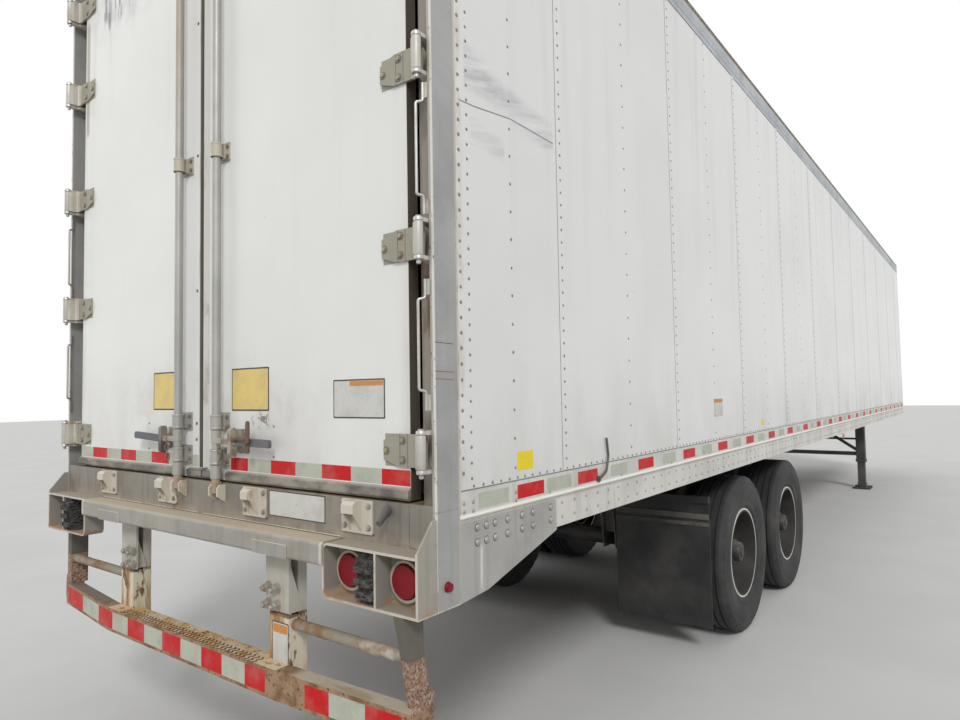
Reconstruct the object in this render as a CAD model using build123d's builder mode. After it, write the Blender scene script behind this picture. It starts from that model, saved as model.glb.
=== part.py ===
from build123d import *
import os

os.makedirs("parts", exist_ok=True)

# Overall sizes, millimetres. X runs forward, Y to the left, Z up from the ground.
length = 13716.0
half_width = 1295.0
seat_gap = 0.3
box_back = 20.0
leaf_depths = [52.0, 78.0, 61.0, 84.0, 66.0, 84.0, 74.0, 58.0]
rear_reach = box_back + seat_gap + max(leaf_depths)
front_reach = 45.0
x_rear = rear_reach - (length + rear_reach + front_reach) / 2
x_nose = x_rear + length

# Heights above the ground
floor_top = 1300.0
floor_thick = 35.0
rail_bottom = 1125.0
rail_ridge = 1243.0
rail_top = 1335.0
wall_top = 3870.0
top_rail_top = 3995.0
roof_crown = 25.0
frame_bottom = 985.0

# Walls, panels and gaps
wall_thick = 40.0
skin_inset = 3.0
side_reach = 12.0
front_wall_thick = 60.0
nose_radius = 55.0
rail_web = 6.0
rail_lip = 34.0
floor_under = floor_top - floor_thick
inner_half = half_width - skin_inset - wall_thick
rail_inner = half_width - skin_inset - 2 * rail_web

# Rear frame
post_deep = 112.0
post_wide = 115.0
post_lip = 16.0
post_steel = 6.0
pocket_deep = 72.0
post_inner = half_width - post_wide
header_bottom = wall_top
sill_deep = 150.0
sill_bottom = 1088.0
shelf_top = 1165.0
shelf_deep = 100.0
lamp_box_inner = 873.0
box_reach = 90.0

# Doors
door_face = 18.0
door_thick = 45.0
door_gap = 6.0
door_bottom = floor_top + 8.0
door_top = header_bottom - 8.0
door_edge = post_inner - 5.0
lip_high = 42.0
lip_out = 16.0
pin_x = -30.0
pin_y = 1262.0
pin_radius = 6.5
barrel_radius = 14.5
pin_clear = 0.3
strap_thick = 9.0
strap_swing = 24.0
strap_span = 116.0
strap_full = 48.0
strap_end_half = 30.0
barrel_high = 104.0
ear_thick = 12.0
pin_end = 6.0
ear_gap = 1.0
hinge_heights = [1466.0, 2122.0, 2706.0, 3290.0, 3752.0]

# Lock rods
rod_radius = 17.0
rod_x = -22.0
rod_y = 145.0
rod_low = 1262.0
rod_high = 3925.0
guide_heights = [1405.0, 1545.0, 2660.0, 3700.0]
handle_height = 1470.0
handle_tall = 24.0
sleeves = [(1462.0, 1512.0, 3.0), (1318.0, 1372.0, 4.0)]
cam_half = 16.0
cam_clear = 8.0
cam_high = 44.0

# Centre seals
seal_start = 4.0
seal_wide = 24.0

# Cross members
beam_deep = floor_under - 1138.0
beam_wide = 57.0
beam_steel = 5.0
beam_pitch = 304.8
beam_first = 300.0
beam_bottom = floor_under - beam_deep

# Wheels
tyre_radius = 520.0
tyre_wide = 279.0
rim_radius = 286.0
flange_radius = 297.0
barrel_wall = 10.0
outer_tyre = 1128.0
dual_spacing = 333.0
inner_tyre = outer_tyre - dual_spacing
rear_axle = 3285.0
axle_spread = 1245.0
axle_places = {"rear": x_rear + rear_axle, "front": x_rear + rear_axle + axle_spread}
disc_plane = (outer_tyre + inner_tyre) / 2
drum_radius = 210.0
drum_inner = 700.0
hub_reach = 1165.0
hand_holes = 5
hand_hole_place = 226.0
hand_hole_radius = 24.0
spindle_radius = 38.0
spindle_clear = 0.3
axle_radius = 63.5

# Running gear
slider_y = 520.0
slider_wide = 75.0
slider_high = 100.0
slider_bottom = beam_bottom - slider_high
slider_start = 900.0
slider_end = 6100.0
bogie_high = 110.0
bogie_bottom = slider_bottom - bogie_high
bogie_start = 2560.0
bogie_end = 5250.0
spring_wide = 76.0
spring_y = slider_y
seat_top = tyre_radius + axle_radius + 12.0

# Half-way lamp bracket
mid_marker_x = x_rear + 7100.0
tab_low = 1062.0
tab_set = 12.0
tab_steel = 4.0

# Coupling and legs
kingpin_x = x_nose - 914.0
plate_thick = 10.0
plate_start = x_nose - 1560.0
plate_end = x_nose - 120.0
plate_half = 610.0
leg_x = x_rear + 11000.0
leg_y = 915.0
leg_outer = 130.0
leg_inner = 105.0
leg_tube_low = 430.0
shoe_long = 300.0
shoe_wide = 250.0


def export(piece, name):
    piece.part.label = name
    export_step(piece.part, f"parts/{name}.step")


def side_name(side):
    return "left" if side > 0 else "right"


def yz_plane(x):
    return Plane(origin=(x, 0, 0), x_dir=(0, 1, 0), z_dir=(1, 0, 0))


def xz_plane(y):
    return Plane(origin=(0, y, 0), x_dir=(1, 0, 0), z_dir=(0, -1, 0))


def outline(points):
    with BuildLine() as line:
        Polyline(*points, close=True)
    make_face(line.edges())


# Side walls: sheet outside, lining inside, standing on the cross members inside the bottom rail
for side in (-1, 1):
    outer = side * (half_width - skin_inset)
    behind_rail = side * (rail_inner - seat_gap)
    inner = side * inner_half
    with BuildPart() as side_wall:
        with BuildSketch(yz_plane(x_rear + post_deep)):
            outline([
                (inner, floor_under),
                (behind_rail, floor_under),
                (behind_rail, rail_top),
                (outer, rail_top),
                (outer, wall_top),
                (inner, wall_top),
            ])
        extrude(amount=length - post_deep - front_wall_thick)
    export(side_wall, f"side_wall_{side_name(side)}")

# Front wall with its two rounded corner posts
with BuildPart() as front_wall:
    with BuildSketch(Plane.XY.offset(rail_bottom)):
        with Locations((x_nose - front_wall_thick / 2, 0)):
            Rectangle(front_wall_thick, 2 * half_width)
    extrude(amount=top_rail_top - rail_bottom)
    nose_edges = front_wall.edges().filter_by(Axis.Z).group_by(Axis.X)[-1]
    fillet(nose_edges, nose_radius)
export(front_wall, "front_wall")

# Floor
with BuildPart() as floor:
    with BuildSketch(Plane.XY.offset(floor_under)):
        floor_long = length - front_wall_thick - 8.0
        with Locations((x_rear + 8.0 + floor_long / 2, 0)):
            Rectangle(floor_long, 2 * (inner_half - seat_gap))
        for side in (-1, 1):
            with Locations((x_rear + post_deep / 2, side * half_width)):
                Rectangle(post_deep, 2 * post_wide, mode=Mode.SUBTRACT)
    extrude(amount=floor_thick)
export(floor, "floor")

# Cross members: I beams riveted to the rails under the floor
beam_count = int((length - beam_first - 150.0) // beam_pitch) + 1
with BuildPart() as cross_members:
    with BuildSketch(xz_plane(rail_inner - seat_gap)):
        for number in range(beam_count):
            with Locations((x_rear + beam_first + number * beam_pitch, floor_under - beam_deep / 2)):
                Rectangle(beam_steel, beam_deep)
                with Locations((0, (beam_deep - beam_steel) / 2), (0, (beam_steel - beam_deep) / 2)):
                    Rectangle(beam_wide, beam_steel)
    extrude(amount=2 * (rail_inner - seat_gap))
export(cross_members, "cross_members")

# Bottom rails: web with a raised ridge, an upper flange outside the wall and a foot lip
with BuildPart() as bottom_rails:
    for side in (-1, 1):
        out = side * half_width
        face = side * (half_width - skin_inset)
        flange = side * rail_inner
        foot = side * (half_width - skin_inset - rail_lip)
        with BuildSketch(yz_plane(x_rear + post_deep)):
            outline([
                (foot, rail_bottom),
                (face, rail_bottom),
                (face, rail_ridge - 10.0),
                (out, rail_ridge - 6.0),
                (out, rail_ridge + 6.0),
                (face, rail_ridge + 10.0),
                (face, rail_top - 0.5),
                (flange, rail_top - 0.5),
                (flange, rail_bottom + rail_web),
                (foot, rail_bottom + rail_web),
            ])
        extrude(amount=length - post_deep - front_wall_thick)
        tab_y = half_width - skin_inset - tab_set
        with BuildSketch(xz_plane(max(side * tab_y, side * (tab_y - tab_steel)))):
            with Locations((mid_marker_x, (tab_low + rail_bottom + rail_web) / 2)):
                Rectangle(64.0, rail_bottom + rail_web - tab_low)
        extrude(amount=tab_steel)
export(bottom_rails, "bottom_rails")

# Top rails
with BuildPart() as top_rails:
    for side in (-1, 1):
        with BuildSketch(yz_plane(x_rear + post_deep)):
            outline([
                (side * inner_half, wall_top),
                (side * half_width, wall_top),
                (side * half_width, top_rail_top - 14.0),
                (side * (half_width - 14.0), top_rail_top),
                (side * inner_half, top_rail_top),
            ])
        extrude(amount=length - post_deep - front_wall_thick)
export(top_rails, "top_rails")

# Roof: crowned sheet on bows between the top rails
bow_count = 22
roof_half = inner_half - seat_gap
roof_under = top_rail_top - 30.0
with BuildPart() as roof:
    with BuildSketch(yz_plane(x_rear + post_deep)):
        with BuildLine():
            ThreePointArc((-roof_half, top_rail_top), (0, top_rail_top + roof_crown), (roof_half, top_rail_top))
            Line((roof_half, top_rail_top), (roof_half, top_rail_top - 6.0))
            ThreePointArc(
                (roof_half, top_rail_top - 6.0),
                (0, top_rail_top + roof_crown - 6.0),
                (-roof_half, top_rail_top - 6.0),
            )
            Line((-roof_half, top_rail_top - 6.0), (-roof_half, top_rail_top))
        make_face()
    extrude(amount=length - post_deep - front_wall_thick)
    bow_pitch = (length - post_deep - front_wall_thick) / bow_count
    for number in range(bow_count):
        with BuildSketch(yz_plane(x_rear + post_deep + (number + 0.5) * bow_pitch - 25.0)):
            with BuildLine():
                ThreePointArc(
                    (-roof_half, top_rail_top - 3.0),
                    (0, top_rail_top + roof_crown - 3.0),
                    (roof_half, top_rail_top - 3.0),
                )
                Line((roof_half, top_rail_top - 3.0), (roof_half, roof_under))
                Line((roof_half, roof_under), (-roof_half, roof_under))
                Line((-roof_half, roof_under), (-roof_half, top_rail_top - 3.0))
            make_face()
        extrude(amount=50.0)
export(roof, "roof")

# Rear posts: hollow section with a pocket that is open to the rear for the hinges
for side in (-1, 1):
    with BuildPart() as rear_post:
        with BuildSketch(Plane.XY.offset(frame_bottom)):
            outline([
                (x_rear, side * (half_width - post_lip)),
                (x_rear, side * half_width),
                (x_rear + post_deep, side * half_width),
                (x_rear + post_deep, side * post_inner),
                (x_rear + pocket_deep, side * post_inner),
                (x_rear + pocket_deep, side * (half_width - post_lip)),
            ])
            with Locations((x_rear + (post_deep + pocket_deep) / 2, side * (half_width - post_wide / 2))):
                Rectangle(
                    post_deep - pocket_deep - 2 * post_steel,
                    post_wide - 2 * post_steel,
                    mode=Mode.SUBTRACT,
                )
        extrude(amount=top_rail_top - frame_bottom)
    export(rear_post, f"rear_post_{side_name(side)}")

# Bent guard rods between the lower hinges, welded at both ends to plates beside the posts' lips
rod_wire = 7.5
rod_bend = 14.0
rod_plate = 60.0
rod_plate_wide = 18.0
rod_plate_thick = 5.0
rod_spans = [(1545.0, 2050.0), (2205.0, 2630.0)]
with BuildPart() as post_rods:
    for side in (-1, 1):
        plate_y = half_width - post_lip - seat_gap - rod_plate_wide / 2
        for low, high in rod_spans:
            with BuildLine() as path:
                FilletPolyline(
                    (x_rear - rod_wire, side * plate_y, low),
                    (x_rear - rod_wire, side * plate_y, low + rod_plate),
                    (x_rear - 30.0, side * (pin_y - 4.0), low + rod_plate + 42.0),
                    (x_rear - 30.0, side * (pin_y - 4.0), high - rod_plate - 42.0),
                    (x_rear - rod_wire, side * plate_y, high - rod_plate),
                    (x_rear - rod_wire, side * plate_y, high),
                    radius=rod_bend,
                )
            with BuildSketch(Plane(origin=path.line @ 0, z_dir=path.line % 0)):
                Circle(rod_wire)
            sweep(path=path.line)
            for plate_low in (low, high - rod_plate):
                with BuildSketch(Plane.XY.offset(plate_low)):
                    with Locations((x_rear + rod_plate_thick / 2 - 1.0, side * plate_y)):
                        Rectangle(rod_plate_thick, rod_plate_wide)
                extrude(amount=rod_plate)
export(post_rods, "post_rods")

# Rear header between the posts
header_half = post_inner - seat_gap
with BuildPart() as rear_header:
    with BuildSketch(xz_plane(header_half)):
        outline([
            (x_rear, header_bottom),
            (x_rear, top_rail_top + roof_crown),
            (x_rear + post_deep, top_rail_top + roof_crown),
            (x_rear + post_deep, header_bottom - 22.0),
            (x_rear + pocket_deep, header_bottom - 22.0),
            (x_rear + pocket_deep, header_bottom),
        ])
        with Locations((x_rear + post_deep / 2, (header_bottom + top_rail_top + roof_crown) / 2)):
            Rectangle(
                post_deep - 2 * post_steel,
                top_rail_top + roof_crown - header_bottom - 2 * post_steel,
                mode=Mode.SUBTRACT,
            )
    extrude(amount=2 * header_half)
export(rear_header, "rear_header")

# Rear sill: deep box under the doors, with hooded brackets, lock keepers and a peg on its face
bracket_places = [-950.0, -380.0, 262.0, 812.0]
bracket_half = 74.0
bracket_low = 1188.0
bracket_high = 1298.0
hood_low = 1256.0
hood_out = 46.0
peg_place = (-1090.0, 1278.0)
with BuildPart() as rear_sill:
    with BuildSketch(xz_plane(header_half)):
        with Locations((x_rear + sill_deep / 2, (sill_bottom + floor_under) / 2)):
            Rectangle(sill_deep, floor_under - sill_bottom)
            Rectangle(sill_deep - 16.0, floor_under - sill_bottom - 16.0, mode=Mode.SUBTRACT)
        with Locations((x_rear + 4.0, (floor_under + floor_top) / 2)):
            Rectangle(7.4, floor_thick)
    extrude(amount=2 * header_half)
    for place in bracket_places:
        with BuildSketch(yz_plane(x_rear)):
            with Locations((place, (bracket_low + bracket_high) / 2)):
                RectangleRounded(2 * bracket_half, bracket_high - bracket_low, 6.0)
        extrude(amount=-7.0)
        with BuildSketch(xz_plane(place + 34.0)):
            outline([
                (x_rear - 7.0, bracket_high - 2.0),
                (x_rear - hood_out + 12.0, bracket_high - 2.0),
                (x_rear - hood_out, bracket_high - 14.0),
                (x_rear - hood_out, hood_low),
                (x_rear - hood_out + 7.0, hood_low),
                (x_rear - hood_out + 7.0, bracket_high - 12.0),
                (x_rear - 7.0, bracket_high - 12.0),
            ])
        extrude(amount=58.0)
        for cheek_y in (place + 34.0, place - 17.0):
            with BuildSketch(xz_plane(cheek_y)):
                outline([
                    (x_rear - 7.0, bracket_high - 10.0),
                    (x_rear - hood_out + 4.0, bracket_high - 12.0),
                    (x_rear - hood_out + 4.0, hood_low),
                    (x_rear - 7.0, bracket_low + 8.0),
                ])
            extrude(amount=7.0)
    for side in (-1, 1):
        for cheek in (-1, 1):
            cheek_y = side * rod_y + cheek * (cam_half + cam_clear + 5.0)
            with BuildSketch(xz_plane(cheek_y + 5.0)):
                outline([
                    (x_rear, 1225.0),
                    (x_rear, 1296.0),
                    (x_rear - 24.0, 1296.0),
                    (x_rear - 36.0, 1284.0),
                    (x_rear - 36.0, 1250.0),
                ])
            extrude(amount=10.0)
    with BuildSketch(Plane(origin=(x_rear - 1.0, peg_place[0], peg_place[1]), z_dir=(-0.83, -0.28, -0.48))):
        Circle(15.0)
    extrude(amount=74.0, taper=4)
export(rear_sill, "rear_sill")

# Shelf beam and the two lamp boxes with their rounded corners, hung from the sill and the posts
box_wall = 8.0
box_round = 26.0
divider_y = 1118.0
shelf_centre = x_rear - shelf_deep / 2 - seat_gap / 2
box_high = shelf_top - frame_bottom
box_wide = half_width - lamp_box_inner + box_round
box_mid = lamp_box_inner + box_wide / 2
with BuildPart() as bumper_shelf:
    with BuildSketch(xz_plane(lamp_box_inner + box_wall)):
        with Locations((shelf_centre, (shelf_top + sill_bottom) / 2)):
            RectangleRounded(shelf_deep - seat_gap, shelf_top - sill_bottom, 12.0)
            RectangleRounded(shelf_deep - 12.0, shelf_top - sill_bottom - 12.0, 7.0, mode=Mode.SUBTRACT)
    extrude(amount=2 * (lamp_box_inner + box_wall))
    for side in (-1, 1):
        with BuildSketch(yz_plane(x_rear - seat_gap)):
            with Locations((side * box_mid, (shelf_top + frame_bottom) / 2)):
                RectangleRounded(box_wide, box_high, box_round)
                RectangleRounded(
                    box_wide - 2 * box_wall,
                    box_high - 2 * box_wall,
                    box_round - box_wall,
                    mode=Mode.SUBTRACT,
                )
            with Locations((side * (half_width + box_round), (shelf_top + frame_bottom) / 2)):
                Rectangle(2 * box_round, 2 * box_high, mode=Mode.SUBTRACT)
            with Locations((side * divider_y, (shelf_top + frame_bottom) / 2)):
                Rectangle(box_wall, box_high)
        extrude(amount=-(box_reach - seat_gap))
        with BuildSketch(yz_plane(x_rear - box_back)):
            with Locations((side * (lamp_box_inner + half_width) / 2, (shelf_top + frame_bottom) / 2)):
                RectangleRounded(half_width - lamp_box_inner - 8.0, box_high - 8.0, box_round - 8.0)
        extrude(amount=box_wall)
        with BuildSketch(xz_plane(max(side * half_width, side * (half_width - box_wall)))):
            outline([
                (x_rear - seat_gap, frame_bottom),
                (x_rear - box_reach, frame_bottom),
                (x_rear - box_reach, shelf_top + 10.0),
                (x_rear - 18.0, shelf_top + 97.0),
                (x_rear - seat_gap, shelf_top + 97.0),
            ])
        extrude(amount=box_wall)
export(bumper_shelf, "bumper_shelf")

# Red lamps: two tail lamps in each lamp box, one on each post's side, five along the header
lamp_radius = 54.0
lamp_height = 1072.0
lamp_face = x_rear - box_back - seat_gap
marker_radius = 17.0
post_marker = (x_rear + 47.0, 1053.0)
header_markers = [-1100.0, -160.0, 0.0, 160.0, 1100.0]
header_marker_z = 3950.0


with BuildPart() as red_lamps:
    for side in (-1, 1):
        with BuildSketch(yz_plane(lamp_face)):
            with Locations((side * 948.0, lamp_height), (side * 1195.0, lamp_height)):
                Circle(lamp_radius + 8.0)
        extrude(amount=-10.0)
        with BuildSketch(yz_plane(lamp_face - 10.0)):
            with Locations((side * 948.0, lamp_height), (side * 1195.0, lamp_height)):
                Circle(lamp_radius)
        extrude(amount=-12.0, taper=18)
        with BuildSketch(xz_plane(side * (half_width + seat_gap))):
            with Locations(post_marker):
                Circle(marker_radius)
        extrude(amount=-side * (side_reach - seat_gap), taper=18)
    with BuildSketch(yz_plane(x_rear - seat_gap)):
        for marker_y in header_markers:
            with Locations((marker_y, header_marker_z)):
                RectangleRounded(100.0, 32.0, 8.0)
    extrude(amount=-18.0, taper=15)
export(red_lamps, "red_lamps")

# Amber lamps: one at each side's middle on a bracket, one near the nose, two high on the front wall
amber_places = [
    (x_nose - 300.0, 1290.0, half_width - skin_inset),
    (mid_marker_x, 1091.0, half_width - skin_inset - tab_set),
]
with BuildPart() as amber_lamps:
    for side in (-1, 1):
        for marker_x, marker_z, carrier_y in amber_places:
            with BuildSketch(xz_plane(side * (carrier_y + seat_gap))):
                with Locations((marker_x, marker_z)):
                    Circle(marker_radius + 8.0)
            extrude(amount=-side * side_reach, taper=18)
    with BuildSketch(yz_plane(x_nose + seat_gap)):
        for marker_y in (-1100.0, 1100.0):
            with Locations((marker_y, header_marker_z)):
                RectangleRounded(100.0, 32.0, 8.0)
    extrude(amount=18.0, taper=15)
export(amber_lamps, "amber_lamps")

# Dock bumpers: stacks of rubber leaves beside the dividers, torn at the rear
bumper_wide = 78.0
bumper_y = divider_y - box_wall / 2 - bumper_wide / 2 - seat_gap
bumper_low = frame_bottom + box_wall + seat_gap
leaf_high = (box_high - 2 * box_wall - 2 * seat_gap) / len(leaf_depths)
with BuildPart() as dock_bumpers:
    for side in (-1, 1):
        for number, depth in enumerate(leaf_depths):
            with BuildSketch(Plane.XY.offset(bumper_low + number * leaf_high)):
                with Locations((lamp_face - depth / 2, side * bumper_y)):
                    Rectangle(depth, bumper_wide - 6.0 * (number % 2))
            extrude(amount=leaf_high)
export(dock_bumpers, "dock_bumpers")

# Underride guard: two bolted and gusseted posts, a tube with a tread plate, outer struts and steps.
# The tube's ends and the struts are knocked forward, each by its own amount.
guard_y = 565.0
guard_half = 56.0
guard_flange = 22.0
guard_steel = 10.0
guard_reach = 90.0
bar_low = 592.0
bar_high = 695.0
bar_half = 1236.0
bar_deep = 60.0
bar_wall = 5.0
guard_face = x_rear - guard_reach + bar_deep + seat_gap
guard_foot = bar_low + 12.0
tread_deep = 34.0
split_high = 870.0
split_low = 863.0
guard_out = guard_y + guard_half
strut_y = 1216.0
strut_wide = 40.0
strut_knee = 830.0
step_radius = 20.0
step_high = 828.0
step_in = guard_out + seat_gap
step_out = strut_y - strut_wide / 2 - seat_gap
guard_top = sill_bottom - seat_gap
# Columns: side, tube's end, then the strut's rear and front edge at its top, its knee and the tube
guard_ends = [
    (-1, -60.0, (-90.0, -3.0), (-56.0, 4.0), (-30.0, 32.0)),
    (1, -20.0, (-16.0, 66.0), (-16.0, 66.0), (-16.0, 66.0)),
]
bar_line = [
    (guard_ends[0][1], -bar_half),
    (-guard_reach, -guard_out),
    (-guard_reach, guard_out),
    (guard_ends[1][1], bar_half),
]
with BuildPart() as underride_guard:
    with BuildSketch(Plane.XY.offset(bar_low)):
        outline([(x_rear + x, y) for x, y in bar_line]
                + [(x_rear + x + bar_deep, y) for x, y in reversed(bar_line)])
    extrude(amount=bar_high - bar_low)
    with BuildSketch(Plane.XY.offset(bar_low + bar_wall)):
        outline([(x_rear + x + bar_wall, y * 1.001) for x, y in bar_line]
                + [(x_rear + x + bar_deep - bar_wall, y * 1.001) for x, y in reversed(bar_line)])
    extrude(amount=bar_high - bar_low - 2 * bar_wall, mode=Mode.SUBTRACT)
    with BuildSketch(Plane.XY.offset(bar_high - 16.0)):
        with Locations((guard_face + tread_deep / 2, 0)):
            Rectangle(tread_deep, 2 * (guard_y - guard_half - seat_gap))
            with GridLocations(15.0, 60.0, 2, 15):
                SlotOverall(34.0, 8.0, rotation=90, mode=Mode.SUBTRACT)
    extrude(amount=14.0)
    for side, bar_end, strut_top, strut_bend, strut_foot in guard_ends:
        centre = side * guard_y
        with BuildSketch(Plane.XY.offset(guard_foot)):
            with Locations((guard_face + guard_steel / 2, centre)):
                Rectangle(guard_steel, 2 * guard_half)
            with Locations((guard_face + 66.0, centre)):
                Rectangle(38.0, 2 * guard_half - 14.0)
            with Locations((guard_face + 40.0, centre)):
                Rectangle(66.0, guard_steel)
        extrude(amount=guard_top - guard_foot)
        with BuildSketch(xz_plane(centre + guard_half + 1.0)):
            with Locations((guard_face + 3.0, (split_low + split_high) / 2)):
                Rectangle(8.0, split_high - split_low)
        extrude(amount=2 * guard_half + 2.0, mode=Mode.SUBTRACT)
        with BuildSketch(Plane.XY.offset(split_high)):
            with Locations((guard_face + guard_steel / 2, side * (guard_y - guard_half - guard_flange / 2))):
                Rectangle(guard_steel, guard_flange)
        extrude(amount=guard_top - split_high)
        for cheek_y in (centre + guard_half, centre - guard_half + 8.0):
            with BuildSketch(xz_plane(cheek_y)):
                outline([
                    (guard_face + 2.0, guard_top - 30.0),
                    (guard_face + 2.0, split_high),
                    (guard_face + 62.0, split_high),
                ])
                outline([
                    (guard_face + 2.0, split_low),
                    (guard_face + 2.0, guard_foot),
                    (guard_face + 80.0, guard_foot),
                    (guard_face + 80.0, bar_high),
                    (guard_face + 34.0, split_low),
                ])
            extrude(amount=8.0)
        with BuildSketch(xz_plane(side * strut_y + strut_wide / 2)):
            outline([
                (x_rear + strut_top[0], frame_bottom - seat_gap),
                (x_rear + strut_bend[0], strut_knee),
                (x_rear + strut_foot[0], bar_high - 1.0),
                (x_rear + strut_foot[1], bar_high - 1.0),
                (x_rear + strut_bend[1], strut_knee),
                (x_rear + strut_top[1], frame_bottom - seat_gap),
            ])
        extrude(amount=strut_wide)
        with BuildSketch(xz_plane(max(side * bar_half, side * (bar_half + 10.0)))):
            outline([
                (x_rear + bar_end + 2.0, bar_low + 30.0),
                (x_rear + bar_end + 2.0, bar_high + 6.0),
                (x_rear + strut_foot[0], bar_high + 42.0),
                (x_rear + strut_foot[1], bar_high + 42.0),
                (x_rear + strut_foot[1], bar_low + 30.0),
            ])
        extrude(amount=10.0)
        with BuildSketch(xz_plane(max(side * step_in, side * step_out))):
            with Locations((x_rear, step_high)):
                Circle(step_radius)
                Circle(step_radius - 4.0, mode=Mode.SUBTRACT)
        extrude(amount=step_out - step_in)
export(underride_guard, "underride_guard")

# Corner plates: stainless plates bolted over the rails' lower half just ahead of the rear posts
plate_skin = half_width - skin_inset + seat_gap
plate_high = rail_ridge - 12.0
with BuildPart() as corner_plates:
    for side in (-1, 1):
        with BuildSketch(xz_plane(max(side * plate_skin, side * half_width))):
            outline([
                (x_rear + post_deep + seat_gap, plate_high),
                (x_rear + post_deep + seat_gap, frame_bottom),
                (x_rear + 255.0, frame_bottom + 12.0),
                (x_rear + 700.0, rail_bottom - seat_gap - 8.0),
                (x_rear + 700.0, plate_high),
            ])
        extrude(amount=half_width - plate_skin)
        with BuildSketch(xz_plane(max(side * (plate_skin - 10.0), side * plate_skin))):
            outline([
                (x_rear + post_deep + seat_gap, rail_bottom - seat_gap),
                (x_rear + post_deep + seat_gap, frame_bottom),
                (x_rear + 255.0, frame_bottom + 12.0),
                (x_rear + 672.0, rail_bottom - seat_gap),
            ])
        extrude(amount=10.0)
export(corner_plates, "corner_plates")

# Door holdbacks: bent hooks on the rails that hold an open door by its lock rod
hook_wire = 5.0
hook_y = half_width + hook_wire + seat_gap
with BuildPart() as door_holdbacks:
    for side in (-1, 1):
        with BuildLine() as path:
            FilletPolyline(
                (x_rear + 1052.0, side * hook_y, 1270.0),
                (x_rear + 1120.0, side * hook_y, 1298.0),
                (x_rear + 1142.0, side * hook_y, 1360.0),
                (x_rear + 1128.0, side * hook_y, 1440.0),
                radius=18.0,
            )
        with BuildSketch(Plane(origin=path.line @ 0, z_dir=path.line % 0)):
            Circle(hook_wire)
        sweep(path=path.line)
        with BuildSketch(xz_plane(max(side * (plate_skin), side * hook_y))):
            with Locations((x_rear + 1052.0, 1270.0)):
                Circle(13.0)
        extrude(amount=hook_y - plate_skin)
export(door_holdbacks, "door_holdbacks")

# Hinge butts: ear pairs with a fixed pin, on the floor of each post's pocket
ear_low = barrel_high / 2 + ear_gap
with BuildPart() as hinge_butts:
    for side in (-1, 1):
        for height in hinge_heights:
            with BuildSketch(Plane.XY.offset(height - ear_low - ear_thick - pin_end)):
                with Locations((x_rear + pin_x, side * pin_y)):
                    Circle(pin_radius)
            extrude(amount=2 * (ear_low + ear_thick) + pin_end)
            for ear_z in (height - ear_low - ear_thick, height + ear_low):
                with BuildSketch(Plane.XY.offset(ear_z)):
                    outline([
                        (x_rear + pin_x, side * (pin_y - barrel_radius)),
                        (x_rear + pin_x, side * (pin_y + barrel_radius)),
                        (x_rear + pocket_deep - seat_gap, side * (pin_y + barrel_radius)),
                        (x_rear + pocket_deep - seat_gap, side * (pin_y - barrel_radius - 30.0)),
                        (x_rear + 5.0, side * (pin_y - barrel_radius)),
                    ])
                    with Locations((x_rear + pin_x, side * pin_y)):
                        Circle(barrel_radius)
                extrude(amount=ear_thick)
            with BuildSketch(Plane.XY.offset(height - ear_low)):
                with Locations((x_rear + pocket_deep - seat_gap - 5.0, side * (pin_y - 15.0))):
                    Rectangle(10.0, 59.0)
            extrude(amount=2 * ear_low)
export(hinge_butts, "hinge_butts")

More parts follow.
